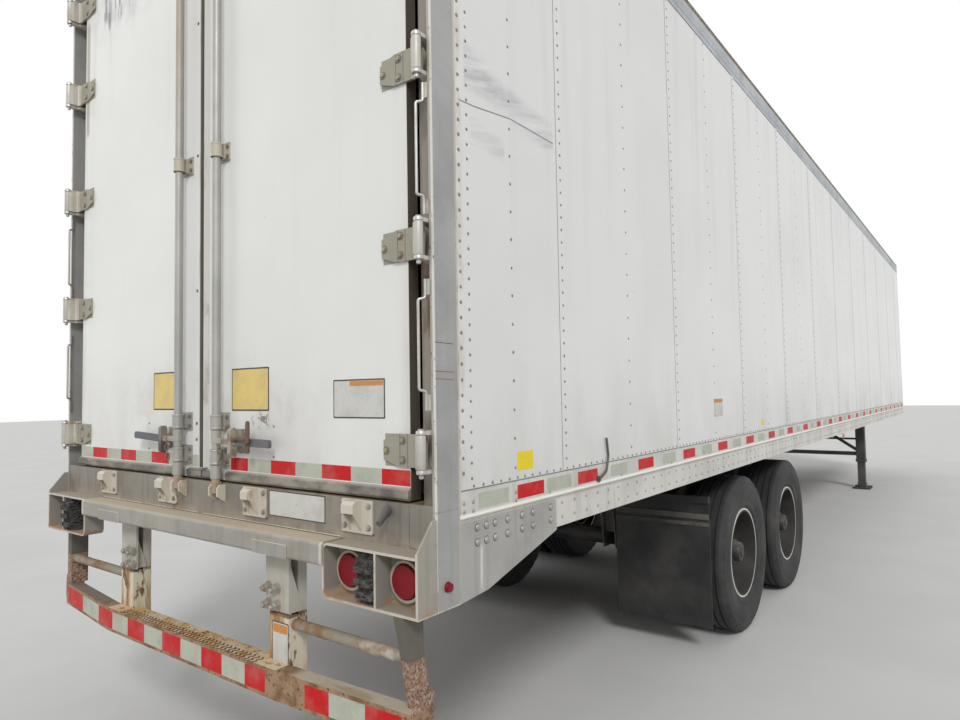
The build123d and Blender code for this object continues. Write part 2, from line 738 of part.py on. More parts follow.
# Doors with their bottom drip edge
for side in (-1, 1):
    name = side_name(side)
    door_wide = door_edge - door_gap
    with BuildPart() as door:
        with BuildSketch(Plane.XY.offset(door_bottom)):
            with Locations((x_rear + door_face + door_thick / 2, side * (door_gap + door_wide / 2))):
                Rectangle(door_thick, door_wide)
        extrude(amount=door_top - door_bottom)
        with BuildSketch(xz_plane(max(side * door_gap, side * door_edge))):
            outline([
                (x_rear + door_face, door_bottom),
                (x_rear + door_face - lip_out + 6.0, door_bottom),
                (x_rear + door_face - lip_out, door_bottom + 8.0),
                (x_rear + door_face - lip_out, door_bottom + lip_high - 12.0),
                (x_rear + door_face, door_bottom + lip_high),
            ])
        extrude(amount=door_wide)
        with BuildSketch(Plane.XY.offset(door_bottom - 1.0)):
            with Locations((x_rear + door_face - 20.0, side * rod_y)):
                Rectangle(40.0, 2 * rod_radius + 16.0)
        extrude(amount=lip_high + 2.0, mode=Mode.SUBTRACT)
    export(door, f"door_{name}")

    # Hinge straps: barrel, a leg forward into the pocket, then the tapered leaf on the door's outer face.
    # The leg stays within strap_swing of the pin's line, so that it clears the post's lip when open.
    leaf_start = door_edge + 4.0
    leg_side = pin_y - barrel_radius + 5.0
    with BuildPart() as hinge_straps:
        for height in hinge_heights:
            with BuildSketch(Plane.XY.offset(height - barrel_high / 2)):
                outline([
                    (x_rear + door_face - seat_gap, side * (leaf_start - strap_span)),
                    (x_rear + door_face - seat_gap, side * (leg_side - 6.0)),
                    (x_rear + door_face - seat_gap - 7.0, side * leg_side),
                    (x_rear + pin_x, side * leg_side),
                    (x_rear + pin_x - 4.0, side * (pin_y - strap_swing + 4.0)),
                    (x_rear + pin_x + 10.0, side * (pin_y - strap_swing)),
                    (x_rear + door_face - seat_gap - strap_thick - 5.0, side * (pin_y - strap_swing)),
                    (x_rear + door_face - seat_gap - strap_thick, side * (pin_y - strap_swing - 5.0)),
                    (x_rear + door_face - seat_gap - strap_thick, side * (leaf_start - strap_span)),
                ])
                with Locations((x_rear + pin_x, side * pin_y)):
                    Circle(barrel_radius)
                    Circle(pin_radius + pin_clear, mode=Mode.SUBTRACT)
            extrude(amount=barrel_high)
            for edge in (-1, 1):
                with BuildSketch(yz_plane(x_rear + pin_x - barrel_radius - 1.0)):
                    outline([
                        (side * (leaf_start - strap_span - 1.0), height + edge * (barrel_high / 2 + 1.0)),
                        (side * (leaf_start - strap_full), height + edge * (barrel_high / 2 + 1.0)),
                        (side * (leaf_start - strap_span - 1.0), height + edge * strap_end_half),
                    ])
                extrude(amount=door_face - pin_x + barrel_radius, mode=Mode.SUBTRACT)
    export(hinge_straps, f"hinge_straps_{name}")

    # Lock rod: tube, guides on feet, lower sleeve, cam, handle and hasp
    foot_face = x_rear + door_face - seat_gap
    hasp_y = rod_y + 118.0
    with BuildPart() as lock_rod:
        with BuildSketch(Plane.XY.offset(rod_low)):
            with Locations((x_rear + rod_x, side * rod_y)):
                Circle(rod_radius)
        extrude(amount=rod_high - rod_low)
        for height in guide_heights:
            with BuildSketch(Plane.XY.offset(height - 30.0)):
                with Locations((x_rear + rod_x, side * rod_y)):
                    Circle(rod_radius + 6.0)
                with Locations((foot_face - 10.0, side * rod_y)):
                    Rectangle(20.0, 2 * rod_radius + 12.0)
            extrude(amount=60.0)
            with BuildSketch(Plane.XY.offset(height - 38.0)):
                with Locations((foot_face - 3.0, side * (rod_y - 6.0))):
                    Rectangle(6.0, 2 * rod_radius + 50.0)
            extrude(amount=76.0)
        for low, high, extra in sleeves:
            with BuildSketch(Plane.XY.offset(low)):
                with Locations((x_rear + rod_x, side * rod_y)):
                    Circle(rod_radius + extra)
            extrude(amount=high - low)
        with BuildSketch(Plane.XY.offset(rod_low)):
            with Locations((x_rear + rod_x + 2.0, side * rod_y)):
                Rectangle(26.0, 2 * cam_half)
        extrude(amount=cam_high)
        with BuildSketch(xz_plane(max(side * rod_y, side * (hasp_y + 78.0)))):
            with Locations((x_rear + rod_x - 6.0, handle_height)):
                RectangleRounded(12.0, handle_tall, 4.0)
        extrude(amount=hasp_y + 78.0 - rod_y)
        with BuildSketch(xz_plane(side * hasp_y + 11.0)):
            with Locations((x_rear + rod_x - 4.0, handle_height - 4.0)):
                SlotOverall(118.0, 30.0, rotation=90)
            with Locations(((foot_face + x_rear + rod_x) / 2, handle_height)):
                Rectangle(foot_face - x_rear - rod_x, 34.0)
        extrude(amount=22.0)
        with BuildSketch(xz_plane(side * hasp_y + 24.0)):
            with Locations((foot_face - 3.0, handle_height)):
                Rectangle(6.0, 96.0)
        extrude(amount=48.0)
    export(lock_rod, f"lock_rod_{name}")

    # Centre seal: a rubber strip that stands proud of each door's free edge
    with BuildPart() as door_seal:
        with BuildSketch(Plane.XY.offset(door_bottom + lip_high + 4.0)):
            outline([
                (x_rear + door_face - seat_gap, side * seal_start),
                (x_rear + 6.0, side * seal_start),
                (x_rear, side * (seal_start + 6.0)),
                (x_rear, side * (seal_start + seal_wide - 8.0)),
                (x_rear + door_face - seat_gap, side * (seal_start + seal_wide)),
            ])
        extrude(amount=door_top - door_bottom - lip_high - 8.0)
    export(door_seal, f"door_seal_{name}")

# Wheels: twin tyres on dished disc rims that share one hub and brake drum
bead_share = 0.36
tyre_profile = [
    (rim_radius + seat_gap, bead_share),
    (420.0, 0.50),
    (tyre_radius, 0.41),
]
for axle, axle_x in axle_places.items():
    for side in (-1, 1):
        name = f"{axle}_{side_name(side)}"
        spin = Axis((axle_x, 0, tyre_radius), (0, 1, 0))
        plane = Plane(origin=(axle_x, 0, tyre_radius), x_dir=(0, side, 0), z_dir=(1, 0, 0))
        with BuildPart() as tyres:
            for centre in (outer_tyre, inner_tyre):
                right = [(centre + share * tyre_wide, radius) for radius, share in tyre_profile]
                left = [(centre - share * tyre_wide, radius) for radius, share in reversed(tyre_profile)]
                with BuildSketch(plane):
                    outline([(along, side * radius) for along, radius in right + left])
                revolve(axis=spin)
        export(tyres, f"tyres_{name}")

        # Each rim is a barrel with two flanges, and both discs bolt to the hub at the middle plane
        with BuildPart() as wheels:
            for centre, dish in ((outer_tyre, -1), (inner_tyre, 1)):
                edge = bead_share * tyre_wide
                with BuildSketch(plane):
                    outline([(along, side * radius) for along, radius in [
                        (centre - edge - 13.0, flange_radius),
                        (centre - edge - 5.0, flange_radius),
                        (centre - edge - seat_gap, rim_radius),
                        (centre + edge + seat_gap, rim_radius),
                        (centre + edge + 5.0, flange_radius),
                        (centre + edge + 13.0, flange_radius),
                        (centre + edge + 13.0, rim_radius - barrel_wall),
                        (centre - edge - 13.0, rim_radius - barrel_wall),
                    ]])
                revolve(axis=spin)
                disc = disc_plane - dish * 0.2
                with BuildSketch(plane):
                    outline([(along, side * radius) for along, radius in [
                        (disc, spindle_radius + spindle_clear),
                        (disc, 200.0),
                        (disc - dish * 40.0, rim_radius - barrel_wall + 2.0),
                        (disc - dish * 54.0, rim_radius - barrel_wall + 2.0),
                        (disc - dish * 14.0, 190.0),
                        (disc - dish * 14.0, spindle_radius + spindle_clear),
                    ]])
                revolve(axis=spin)
            with BuildSketch(xz_plane(disc_plane * side + 70.0)):
                with Locations((axle_x, tyre_radius)):
                    with PolarLocations(hand_hole_place, hand_holes):
                        Circle(hand_hole_radius)
            extrude(amount=140.0, mode=Mode.SUBTRACT)
            with BuildSketch(plane):
                outline([(along, side * radius) for along, radius in [
                    (drum_inner, drum_radius),
                    (disc_plane - 30.0, drum_radius),
                    (disc_plane - 10.0, 140.0),
                    (disc_plane + 90.0, 105.0),
                    (hub_reach - 20.0, 80.0),
                    (hub_reach, 60.0),
                    (hub_reach, spindle_radius + spindle_clear),
                    (drum_inner + 60.0, spindle_radius + spindle_clear),
                    (drum_inner + 60.0, drum_radius - 15.0),
                    (drum_inner, drum_radius - 15.0),
                ]])
            revolve(axis=spin)
        export(wheels, f"wheels_{name}")

# Axles: tube, spindles, spring seats and brake chambers
for axle, axle_x in axle_places.items():
    with BuildPart() as axle_tube:
        with BuildSketch(xz_plane(drum_inner + 40.0)):
            with Locations((axle_x, tyre_radius)):
                Circle(axle_radius)
        extrude(amount=2 * (drum_inner + 40.0))
        with BuildSketch(xz_plane(hub_reach - 12.0)):
            with Locations((axle_x, tyre_radius)):
                Circle(spindle_radius)
        extrude(amount=2 * (hub_reach - 12.0))
        for side in (-1, 1):
            with BuildSketch(Plane.XY.offset(tyre_radius)):
                with Locations((axle_x, side * spring_y)):
                    Rectangle(170.0, spring_wide + 24.0)
            extrude(amount=seat_top - tyre_radius)
            with BuildSketch(xz_plane(side * 330.0 + 70.0)):
                with Locations((axle_x + 150.0, tyre_radius + 20.0)):
                    Circle(78.0)
            extrude(amount=140.0)
            with BuildSketch(xz_plane(side * 330.0 + 8.0)):
                outline([
                    (axle_x, tyre_radius - 40.0),
                    (axle_x, tyre_radius + 40.0),
                    (axle_x + 150.0, tyre_radius + 60.0),
                    (axle_x + 150.0, tyre_radius - 20.0),
                ])
            extrude(amount=16.0)
    export(axle_tube, f"axle_{axle}")

# Leaf springs over the axles, and the rocker between them
hanger_low = seat_top - 20.0
middle_x = (axle_places["rear"] + axle_places["front"]) / 2
spring_half = 430.0
spring_top = seat_top + 84.0
cheek_thick = 10.0
cheek_clear = 2.0
with BuildPart() as springs:
    for side in (-1, 1):
        for axle_x in axle_places.values():
            with BuildSketch(xz_plane(side * spring_y + spring_wide / 2)):
                with BuildLine():
                    ThreePointArc(
                        (axle_x - spring_half, seat_top + 70.0),
                        (axle_x, seat_top + seat_gap),
                        (axle_x + spring_half, seat_top + 70.0),
                    )
                    Line((axle_x + spring_half, seat_top + 70.0), (axle_x + spring_half, spring_top))
                    ThreePointArc(
                        (axle_x + spring_half, spring_top),
                        (axle_x, seat_top + 48.0),
                        (axle_x - spring_half, spring_top),
                    )
                    Line((axle_x - spring_half, spring_top), (axle_x - spring_half, seat_top + 70.0))
                make_face()
            extrude(amount=spring_wide)
export(springs, "springs")

# Slider rails fixed under the cross members, with their row of lock holes
with BuildPart() as slider_rails:
    for side in (-1, 1):
        with BuildSketch(yz_plane(x_rear + slider_start)):
            y_in = side * (slider_y - slider_wide / 2)
            y_out = side * (slider_y + slider_wide / 2)
            outline([
                (y_in, beam_bottom),
                (y_out, beam_bottom),
                (y_out, beam_bottom - 8.0),
                (y_in + side * 8.0, beam_bottom - 8.0),
                (y_in + side * 8.0, slider_bottom + 8.0),
                (y_out, slider_bottom + 8.0),
                (y_out, slider_bottom),
                (y_in, slider_bottom),
            ])
        extrude(amount=slider_end - slider_start)
    with BuildSketch(xz_plane(slider_y + slider_wide)):
        with Locations((x_rear + (slider_start + slider_end) / 2, slider_bottom + slider_high / 2)):
            with GridLocations(152.4, 1.0, 32, 1):
                Circle(19.0)
    extrude(amount=2 * (slider_y + slider_wide), mode=Mode.SUBTRACT)
export(slider_rails, "slider_rails")

# Bogie frame: two side members under the slider rails, cross tubes between them, spring hangers below
hanger_high = bogie_bottom - seat_gap
hanger_places = [
    axle_places["rear"] - spring_half - 60.0,
    middle_x,
    axle_places["front"] + spring_half + 60.0,
]
tube_places = [x_rear + bogie_start + 120.0, middle_x, x_rear + bogie_end - 120.0]
tube_half = slider_y - slider_wide / 2 - seat_gap
with BuildPart() as bogie_frame:
    for side in (-1, 1):
        with BuildSketch(yz_plane(x_rear + bogie_start)):
            with Locations((side * slider_y, slider_bottom - seat_gap - bogie_high / 2)):
                Rectangle(slider_wide, bogie_high - seat_gap)
        extrude(amount=bogie_end - bogie_start)
        for hanger_x in hanger_places:
            with BuildSketch(Plane.XY.offset(hanger_high - 12.0)):
                with Locations((hanger_x, side * spring_y)):
                    Rectangle(300.0, spring_wide + 2 * (cheek_clear + cheek_thick))
            extrude(amount=12.0)
            for cheek in (-1, 1):
                cheek_y = side * spring_y + cheek * (spring_wide / 2 + cheek_clear + cheek_thick / 2)
                with BuildSketch(xz_plane(cheek_y + cheek_thick / 2)):
                    outline([
                        (hanger_x - 150.0, hanger_high - 12.0),
                        (hanger_x + 150.0, hanger_high - 12.0),
                        (hanger_x + 96.0, hanger_low),
                        (hanger_x - 96.0, hanger_low),
                    ])
                extrude(amount=cheek_thick)
            with BuildSketch(xz_plane(side * spring_y + spring_wide / 2 + cheek_clear)):
                with Locations((hanger_x, (spring_top + seat_gap + hanger_high - 12.0) / 2)):
                    Rectangle(150.0, hanger_high - 12.0 - spring_top - seat_gap)
            extrude(amount=spring_wide + 2 * cheek_clear)
    for tube_x in tube_places:
        with BuildSketch(xz_plane(tube_half)):
            with Locations((tube_x, bogie_bottom + bogie_high / 2)):
                Rectangle(90.0, 80.0)
                Rectangle(78.0, 68.0, mode=Mode.SUBTRACT)
        extrude(amount=2 * tube_half)
export(bogie_frame, "bogie_frame")

# Air tank in two straps under the cross members
tank_radius = 120.0
tank_x = x_rear + 6600.0
tank_z = 960.0
with BuildPart() as air_tank:
    with BuildSketch(xz_plane(350.0)):
        with Locations((tank_x, tank_z)):
            Circle(tank_radius)
    extrude(amount=700.0)
    fillet(air_tank.edges().filter_by(GeomType.CIRCLE), 40.0)
    for strap_y in (-200.0, 200.0):
        with BuildSketch(xz_plane(strap_y + 20.0)):
            with Locations((tank_x, (tank_z + beam_bottom) / 2)):
                Rectangle(2 * tank_radius + 12.0, beam_bottom - tank_z)
            with Locations((tank_x, tank_z)):
                Circle(tank_radius + 6.0)
        extrude(amount=40.0)
export(air_tank, "air_tank")

# Mud flaps behind the rear twins, each on a hanger arm from the bogie frame
flap_x = x_rear + rear_axle - tyre_radius - 90.0
flap_in = 585.0
flap_out = 1215.0
flap_low = 165.0
flap_thick = 10.0
arm_low = 935.0
arm_high = 975.0
arm_deep = 40.0
with BuildPart() as mud_flaps:
    for side in (-1, 1):
        with BuildSketch(Plane.XY.offset(flap_low)):
            with Locations((flap_x, side * (flap_in + flap_out) / 2)):
                Rectangle(flap_thick, flap_out - flap_in)
        extrude(amount=arm_low - flap_low)
        arm_root = slider_y + slider_wide / 2 + seat_gap
        with BuildSketch(Plane.XY.offset(arm_low)):
            with Locations((flap_x, side * (arm_root + flap_out) / 2)):
                Rectangle(arm_deep, flap_out - arm_root)
        extrude(amount=arm_high - arm_low)
export(mud_flaps, "mud_flaps")

# Coupler plate under the nose, with the kingpin's hole
shoulder_radius = 36.5
neck_radius = 25.4
collar_radius = 35.7
shoulder_long = 34.0
neck_long = 35.0
collar_long = 14.0
with BuildPart() as coupler_plate:
    with BuildSketch(Plane.XY.offset(beam_bottom - seat_gap - plate_thick)):
        with Locations(((plate_start + plate_end) / 2, 0)):
            Rectangle(plate_end - plate_start, 2 * plate_half)
        with Locations((kingpin_x, 0)):
            Circle(shoulder_radius + seat_gap, mode=Mode.SUBTRACT)
    extrude(amount=plate_thick)
export(coupler_plate, "coupler_plate")

# Kingpin: shoulder through the plate, neck and lower collar
plate_under = beam_bottom - seat_gap - plate_thick
with BuildPart() as kingpin:
    with BuildSketch(Plane.XY.offset(plate_under + plate_thick)):
        with Locations((kingpin_x, 0)):
            Circle(shoulder_radius)
    extrude(amount=-shoulder_long - plate_thick)
    with BuildSketch(Plane.XY.offset(plate_under - shoulder_long)):
        with Locations((kingpin_x, 0)):
            Circle(neck_radius)
    extrude(amount=-neck_long)
    with BuildSketch(Plane.XY.offset(plate_under - shoulder_long - neck_long)):
        with Locations((kingpin_x, 0)):
            Circle(collar_radius)
    extrude(amount=-collar_long)
export(kingpin, "kingpin")

# Landing legs: mounting wings, outer tube, inner tube and a shoe with turned-up ends
wing_high = 260.0
wing_wide = 230.0
collar_high = 46.0
shoe_plate = 12.0
brace_z = 560.0
crank_z = 800.0
for side in (-1, 1):
    with BuildPart() as landing_leg:
        with BuildSketch(Plane.XY.offset(leg_tube_low)):
            with Locations((leg_x, side * leg_y)):
                RectangleRounded(leg_outer, leg_outer, 10.0)
        extrude(amount=beam_bottom - seat_gap - leg_tube_low)
        with BuildSketch(Plane.XY.offset(leg_tube_low)):
            with Locations((leg_x, side * leg_y)):
                RectangleRounded(leg_outer + 16.0, leg_outer + 16.0, 14.0)
        extrude(amount=collar_high)
        with BuildSketch(xz_plane(max(side * (leg_y + 45.0), side * (leg_y + 53.0)))):
            outline([
                (leg_x - wing_wide / 2, beam_bottom - seat_gap),
                (leg_x + wing_wide / 2, beam_bottom - seat_gap),
                (leg_x + leg_outer / 2, beam_bottom - wing_high),
                (leg_x - leg_outer / 2, beam_bottom - wing_high),
            ])
        extrude(amount=8.0)
        with BuildSketch(Plane.XY.offset(40.0)):
            with Locations((leg_x, side * leg_y)):
                Rectangle(leg_inner, leg_inner)
        extrude(amount=leg_tube_low - 40.0)
        with BuildSketch(xz_plane(side * leg_y + shoe_wide / 2)):
            outline([
                (leg_x - shoe_long / 2 + 25.0, 0.0),
                (leg_x + shoe_long / 2 - 25.0, 0.0),
                (leg_x + shoe_long / 2, 22.0),
                (leg_x + shoe_long / 2, 22.0 + shoe_plate),
                (leg_x + shoe_long / 2 - 28.0, shoe_plate),
                (leg_x - shoe_long / 2 + 28.0, shoe_plate),
                (leg_x - shoe_long / 2, 22.0 + shoe_plate),
                (leg_x - shoe_long / 2, 22.0),
            ])
        extrude(amount=shoe_wide)
        for cheek in (-1, 1):
            cheek_y = side * leg_y + cheek * (leg_inner / 2 + 5.0)
            with BuildSketch(xz_plane(cheek_y + 5.0)):
                outline([
                    (leg_x - 90.0, shoe_plate - 1.0),
                    (leg_x + 90.0, shoe_plate - 1.0),
                    (leg_x + 34.0, 96.0),
                    (leg_x - 34.0, 96.0),
                ])
            extrude(amount=10.0)
        if side > 0:
            with BuildSketch(xz_plane(leg_y + leg_outer / 2 + 55.0)):
                with Locations((leg_x, crank_z)):
                    RectangleRounded(150.0, 190.0, 30.0)
            extrude(amount=56.0)
            with BuildSketch(xz_plane(leg_y + leg_outer / 2 + 110.0)):
                with Locations((leg_x - 30.0, crank_z)):
                    Circle(14.0)
            extrude(amount=60.0)
            with BuildSketch(xz_plane(leg_y + leg_outer / 2 + 110.0)):
                with Locations((leg_x - 150.0, crank_z)):
                    SlotOverall(272.0, 24.0)
            extrude(amount=12.0)
            with BuildSketch(xz_plane(leg_y + leg_outer / 2 + 190.0)):
                with Locations((leg_x - 272.0, crank_z)):
                    Circle(12.0)
            extrude(amount=82.0)
    export(landing_leg, f"landing_leg_{side_name(side)}")

# Landing gear brace: cross tube, cross shaft and two diagonals up to the cross members
brace_half = leg_y - leg_outer / 2 - seat_gap
shaft_low = 16.0
brace_steel = 12.0
with BuildPart() as landing_brace:
    with BuildSketch(xz_plane(brace_half)):
        with Locations((leg_x, brace_z)):
            RectangleRounded(60.0, 60.0, 8.0)
            RectangleRounded(48.0, 48.0, 4.0, mode=Mode.SUBTRACT)
        with Locations((leg_x, crank_z)):
            Circle(shaft_low)
    extrude(amount=2 * brace_half)
    for side in (-1, 1):
        with BuildSketch(yz_plane(leg_x - shaft_low - 2.0 - brace_steel)):
            outline([
                (side * brace_half, brace_z + 100.0),
                (side * brace_half, brace_z + 40.0),
                (side * 60.0, beam_bottom - seat_gap),
                (side * 130.0, beam_bottom - seat_gap),
            ])
        extrude(amount=brace_steel)
export(landing_brace, "landing_brace")

# Air and electric couplings on the nose
with BuildPart() as air_couplings:
    with BuildSketch(yz_plane(x_nose + seat_gap)):
        with Locations((0, 1420.0)):
            RectangleRounded(620.0, 120.0, 12.0)
    extrude(amount=8.0)
    with BuildSketch(yz_plane(x_nose + seat_gap + 8.0)):
        with Locations((-230.0, 1420.0), (0, 1420.0), (230.0, 1420.0)):
            Circle(38.0)
    extrude(amount=front_reach - seat_gap - 8.0)
export(air_couplings, "air_couplings")
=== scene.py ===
# %% [markdown]
# # A dry-van semi trailer
# The solids of the trailer come ready made, in metres: +X runs forward, +Y to the left, Z up from the
# ground. This lesson dresses them: rivets, tape, bolts, tyres, lamps, and the dirt and rust of a trailer
# that has worked for years. The first cell loads the solids.

# %% Load the solids
import bpy
import math
from mathutils import Euler, Matrix, Vector


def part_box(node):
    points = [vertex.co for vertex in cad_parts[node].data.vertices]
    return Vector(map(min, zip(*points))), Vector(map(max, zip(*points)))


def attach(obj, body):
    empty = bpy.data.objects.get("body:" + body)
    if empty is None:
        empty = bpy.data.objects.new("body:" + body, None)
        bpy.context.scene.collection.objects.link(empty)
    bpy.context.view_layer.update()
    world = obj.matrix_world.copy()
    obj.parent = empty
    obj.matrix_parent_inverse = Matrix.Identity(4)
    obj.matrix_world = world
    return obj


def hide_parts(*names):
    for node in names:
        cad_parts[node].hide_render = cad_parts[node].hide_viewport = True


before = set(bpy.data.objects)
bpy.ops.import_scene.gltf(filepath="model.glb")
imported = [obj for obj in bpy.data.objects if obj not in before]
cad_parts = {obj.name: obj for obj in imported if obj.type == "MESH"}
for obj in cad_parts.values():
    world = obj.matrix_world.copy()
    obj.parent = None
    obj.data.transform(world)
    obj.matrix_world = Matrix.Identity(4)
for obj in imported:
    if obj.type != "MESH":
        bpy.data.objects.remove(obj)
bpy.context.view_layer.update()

# %% [markdown]
# ## Places on the trailer
# Every later cell asks the solids where things are, so the numbers here are few. `rear` is the rear
# posts' face, and each side's sheet stands 3 mm inside the widest line of the frame.

# %% Named places
TRAILER = "trailer"
SIDES = {"right": -1, "left": 1}
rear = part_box("rear_post_right")[0].x
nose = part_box("front_wall")[1].x
sheet_face = 1.292
door_face = rear + 0.018
rail_low, rail_ridge, rail_high = 1.125, 1.243, 1.3345
wall_top = 3.870
print("rear face at", round(rear, 3), "nose at", round(nose, 3))

# %% [markdown]
# ## Nodes without clutter
# A material in Blender is a tree of nodes, and writing out each node and link would hide what the
# material says. This first helper makes a node, feeds its sockets from a value or another node, and
# does sums, so that later cells can speak of surfaces. It reads Object coordinates in metres: a
# pattern keeps its real scale on every solid and doesn't slide when a door swings.

# %% Nodes and sums
class Nodes:
    """The node tree of one material."""

    def __init__(self, name):
        self.material = bpy.data.materials.new(name)
        self.material.use_nodes = True
        self.nodes = self.material.node_tree.nodes
        self.links = self.material.node_tree.links
        self.where = self.nodes.new("ShaderNodeTexCoord").outputs["Object"]

    def make(self, kind, inputs=None, **settings):
        """A new node with its settings made and its inputs fed."""
        node = self.nodes.new(kind)
        for setting, value in settings.items():
            setattr(node, setting, value)
        for socket, value in (inputs or {}).items():
            self.feed(node.inputs[socket], value)
        return node

    def feed(self, socket, value):
        """Links another node's socket, or sets a plain value."""
        if isinstance(value, bpy.types.NodeSocket):
            self.links.new(value, socket)
        else:
            socket.default_value = value

    def maths(self, operation, first, second=0.0):
        return self.make("ShaderNodeMath", {0: first, 1: second}, operation=operation).outputs[0]

    def axis(self, letter):
        return self.make("ShaderNodeSeparateXYZ", {0: self.where}).outputs[letter]

    def ramp(self, value, low, high):
        """From 0 to 1 while value goes from low to high."""
        inputs = {"Value": value, "From Min": low, "From Max": high}
        return self.make("ShaderNodeMapRange", inputs, interpolation_type="SMOOTHSTEP").outputs["Result"]


print("nodes and sums:", [name for name in vars(Nodes) if name[0] != "_"])

# %% [markdown]
# ## Masks
# A real surface differs from its colour in patches: streaks under rivets, splash near the road, rust
# along edges. A mask says where, from 0 to 1. It comes from noise, from a place along an axis or from
# the way the surface faces, and masks are multiplied where all of them must hold.

# %% Masks
class Masks(Nodes):
    """Where a patch of wear lies."""

    def patches(self, scale, low=0.5, high=0.6, stretch=(1, 1, 1), shift=(0, 0, 0), detail=5.0,
                rough=0.6, tilt=0.0):
        """Noise patches: scale is how many fit in a metre, and a stretch below 1 draws them out."""
        where = self.where
        if tilt:
            lean = {"Vector": where, "Angle": tilt}
            where = self.make("ShaderNodeVectorRotate", lean, rotation_type="Y_AXIS").outputs["Vector"]
        place = self.make("ShaderNodeMapping", {"Vector": where, "Scale": stretch, "Location": shift})
        grain = {"Vector": place.outputs["Vector"], "Scale": scale, "Detail": detail, "Roughness": rough}
        return self.ramp(self.make("ShaderNodeTexNoise", grain).outputs["Fac"], low, high)

    def along(self, letter, low, high):
        """From 0 to 1 between two places along an axis."""
        return self.ramp(self.axis(letter), low, high)

    def both(self, *masks):
        """Where all the masks are."""
        result = masks[0]
        for mask in masks[1:]:
            result = self.maths("MULTIPLY", result, mask)
        return result

    def window(self, letter, low, high, soft):
        """1 between low and high along an axis, with soft ends."""
        rise = self.along(letter, low - soft, low + soft)
        return self.both(rise, self.along(letter, high + soft, high - soft))

    def beyond(self, letter, place, soft=0.0004):
        """1 on the far side of a place along an axis, sharp unless soft is given."""
        return self.along(letter, place - soft, place + soft)

    def short_of(self, letter, place, soft=0.0004):
        """1 on the near side of a place along an axis."""
        return self.along(letter, place + soft, place - soft)

    def outside(self, distance, soft=0.0004):
        """1 where the surface is further than so much from the middle plane."""
        return self.ramp(self.maths("ABSOLUTE", self.axis("Y")), distance - soft, distance + soft)

    def inside(self, distance, soft=0.0004):
        """1 where the surface is nearer than so much to the middle plane."""
        return self.outside(distance, -soft)

    def upward(self, low=0.6, high=0.95):
        """1 where the surface faces up, where dust settles."""
        normal = self.make("ShaderNodeTexCoord").outputs["Normal"]
        return self.ramp(self.make("ShaderNodeSeparateXYZ", {0: normal}).outputs["Z"], low, high)

    def stroke(self, across, up, start, end, wide):
        """A thin line on the plane of two axes, as a scratch leaves it."""
        slope = (end[1] - start[1]) / (end[0] - start[0])
        run = self.maths("MULTIPLY", self.maths("SUBTRACT", self.axis(across), start[0]), slope)
        off = self.maths("SUBTRACT", self.maths("SUBTRACT", self.axis(up), start[1]), run)
        near = self.ramp(self.maths("ABSOLUTE", off), wide, wide * 0.4)
        return self.both(near, self.window(across, start[0], end[0], 0.006))

    def radius(self, x, z):
        """Distance from an axle that runs along Y at x, z."""
        across = self.maths("SUBTRACT", self.axis("X"), x)
        up = self.maths("SUBTRACT", self.axis("Z"), z)
        squares = self.maths("ADD", self.maths("MULTIPLY", across, across), self.maths("MULTIPLY", up, up))
        return self.maths("SQRT", squares)


print("masks:", [name for name in vars(Masks) if name[0] != "_"])

# %% [markdown]
# ## Layers and relief
# A finish starts from one colour. Each layer lays another colour, roughness or share of metal over it
# where its masks say, as dirt lies on paint. Relief adds small bumps, measured in millimetres.

# %% Finish
class Finish(Masks):
    """One surface finish: a base colour and the layers of wear over it."""

    def __init__(self, name, colour, rough=0.5, metal=0.0):
        super().__init__(name)
        self.shader = self.nodes["Principled BSDF"]
        self.now = {"Base Color": (*colour, 1.0), "Roughness": rough, "Metallic": metal}
        for socket, value in self.now.items():
            self.shader.inputs[socket].default_value = value
        self.height = None

    def layer(self, mask, colour=None, rough=None, metal=None):
        """Lays a colour, a roughness or a share of metal over what is there, where the masks say."""
        if isinstance(mask, tuple):
            mask = self.both(*mask)
        for socket, value in (("Base Color", colour), ("Roughness", rough), ("Metallic", metal)):
            if value is None:
                continue
            tint = socket == "Base Color"
            below, above, result = (6, 7, 2) if tint else (2, 3, 0)
            inputs = {0: mask, below: self.now[socket], above: (*value, 1.0) if tint else value}
            mix = self.make("ShaderNodeMix", inputs, data_type="RGBA" if tint else "FLOAT")
            self.now[socket] = mix.outputs[result]
            self.links.new(mix.outputs[result], self.shader.inputs[socket])

    def relief(self, mask, millimetres):
        """Raises the surface by so many millimetres where the mask says, as bump."""
        bump = self.make("ShaderNodeBump", {"Distance": millimetres / 1000, "Height": mask})
        if self.height:
            self.links.new(self.height, bump.inputs["Normal"])
        self.height = bump.outputs["Normal"]
        self.links.new(self.height, self.shader.inputs["Normal"])


print("a finish can:", [name for name in vars(Finish) if name[0] != "_"])

# %% [markdown]
# ## White sheet
# The sides and doors are white coil-coated sheet. It is slightly wavy between its rivets, greyer near
# the road and streaked below the top rail. A picture wrapped on the panel would repeat and slide;
# layers of noise don't.

# %% White sheet finish
ROAD_DUST = (0.36, 0.32, 0.27)
RUST = (0.24, 0.110, 0.045)
DARK_RUST = (0.10, 0.045, 0.022)


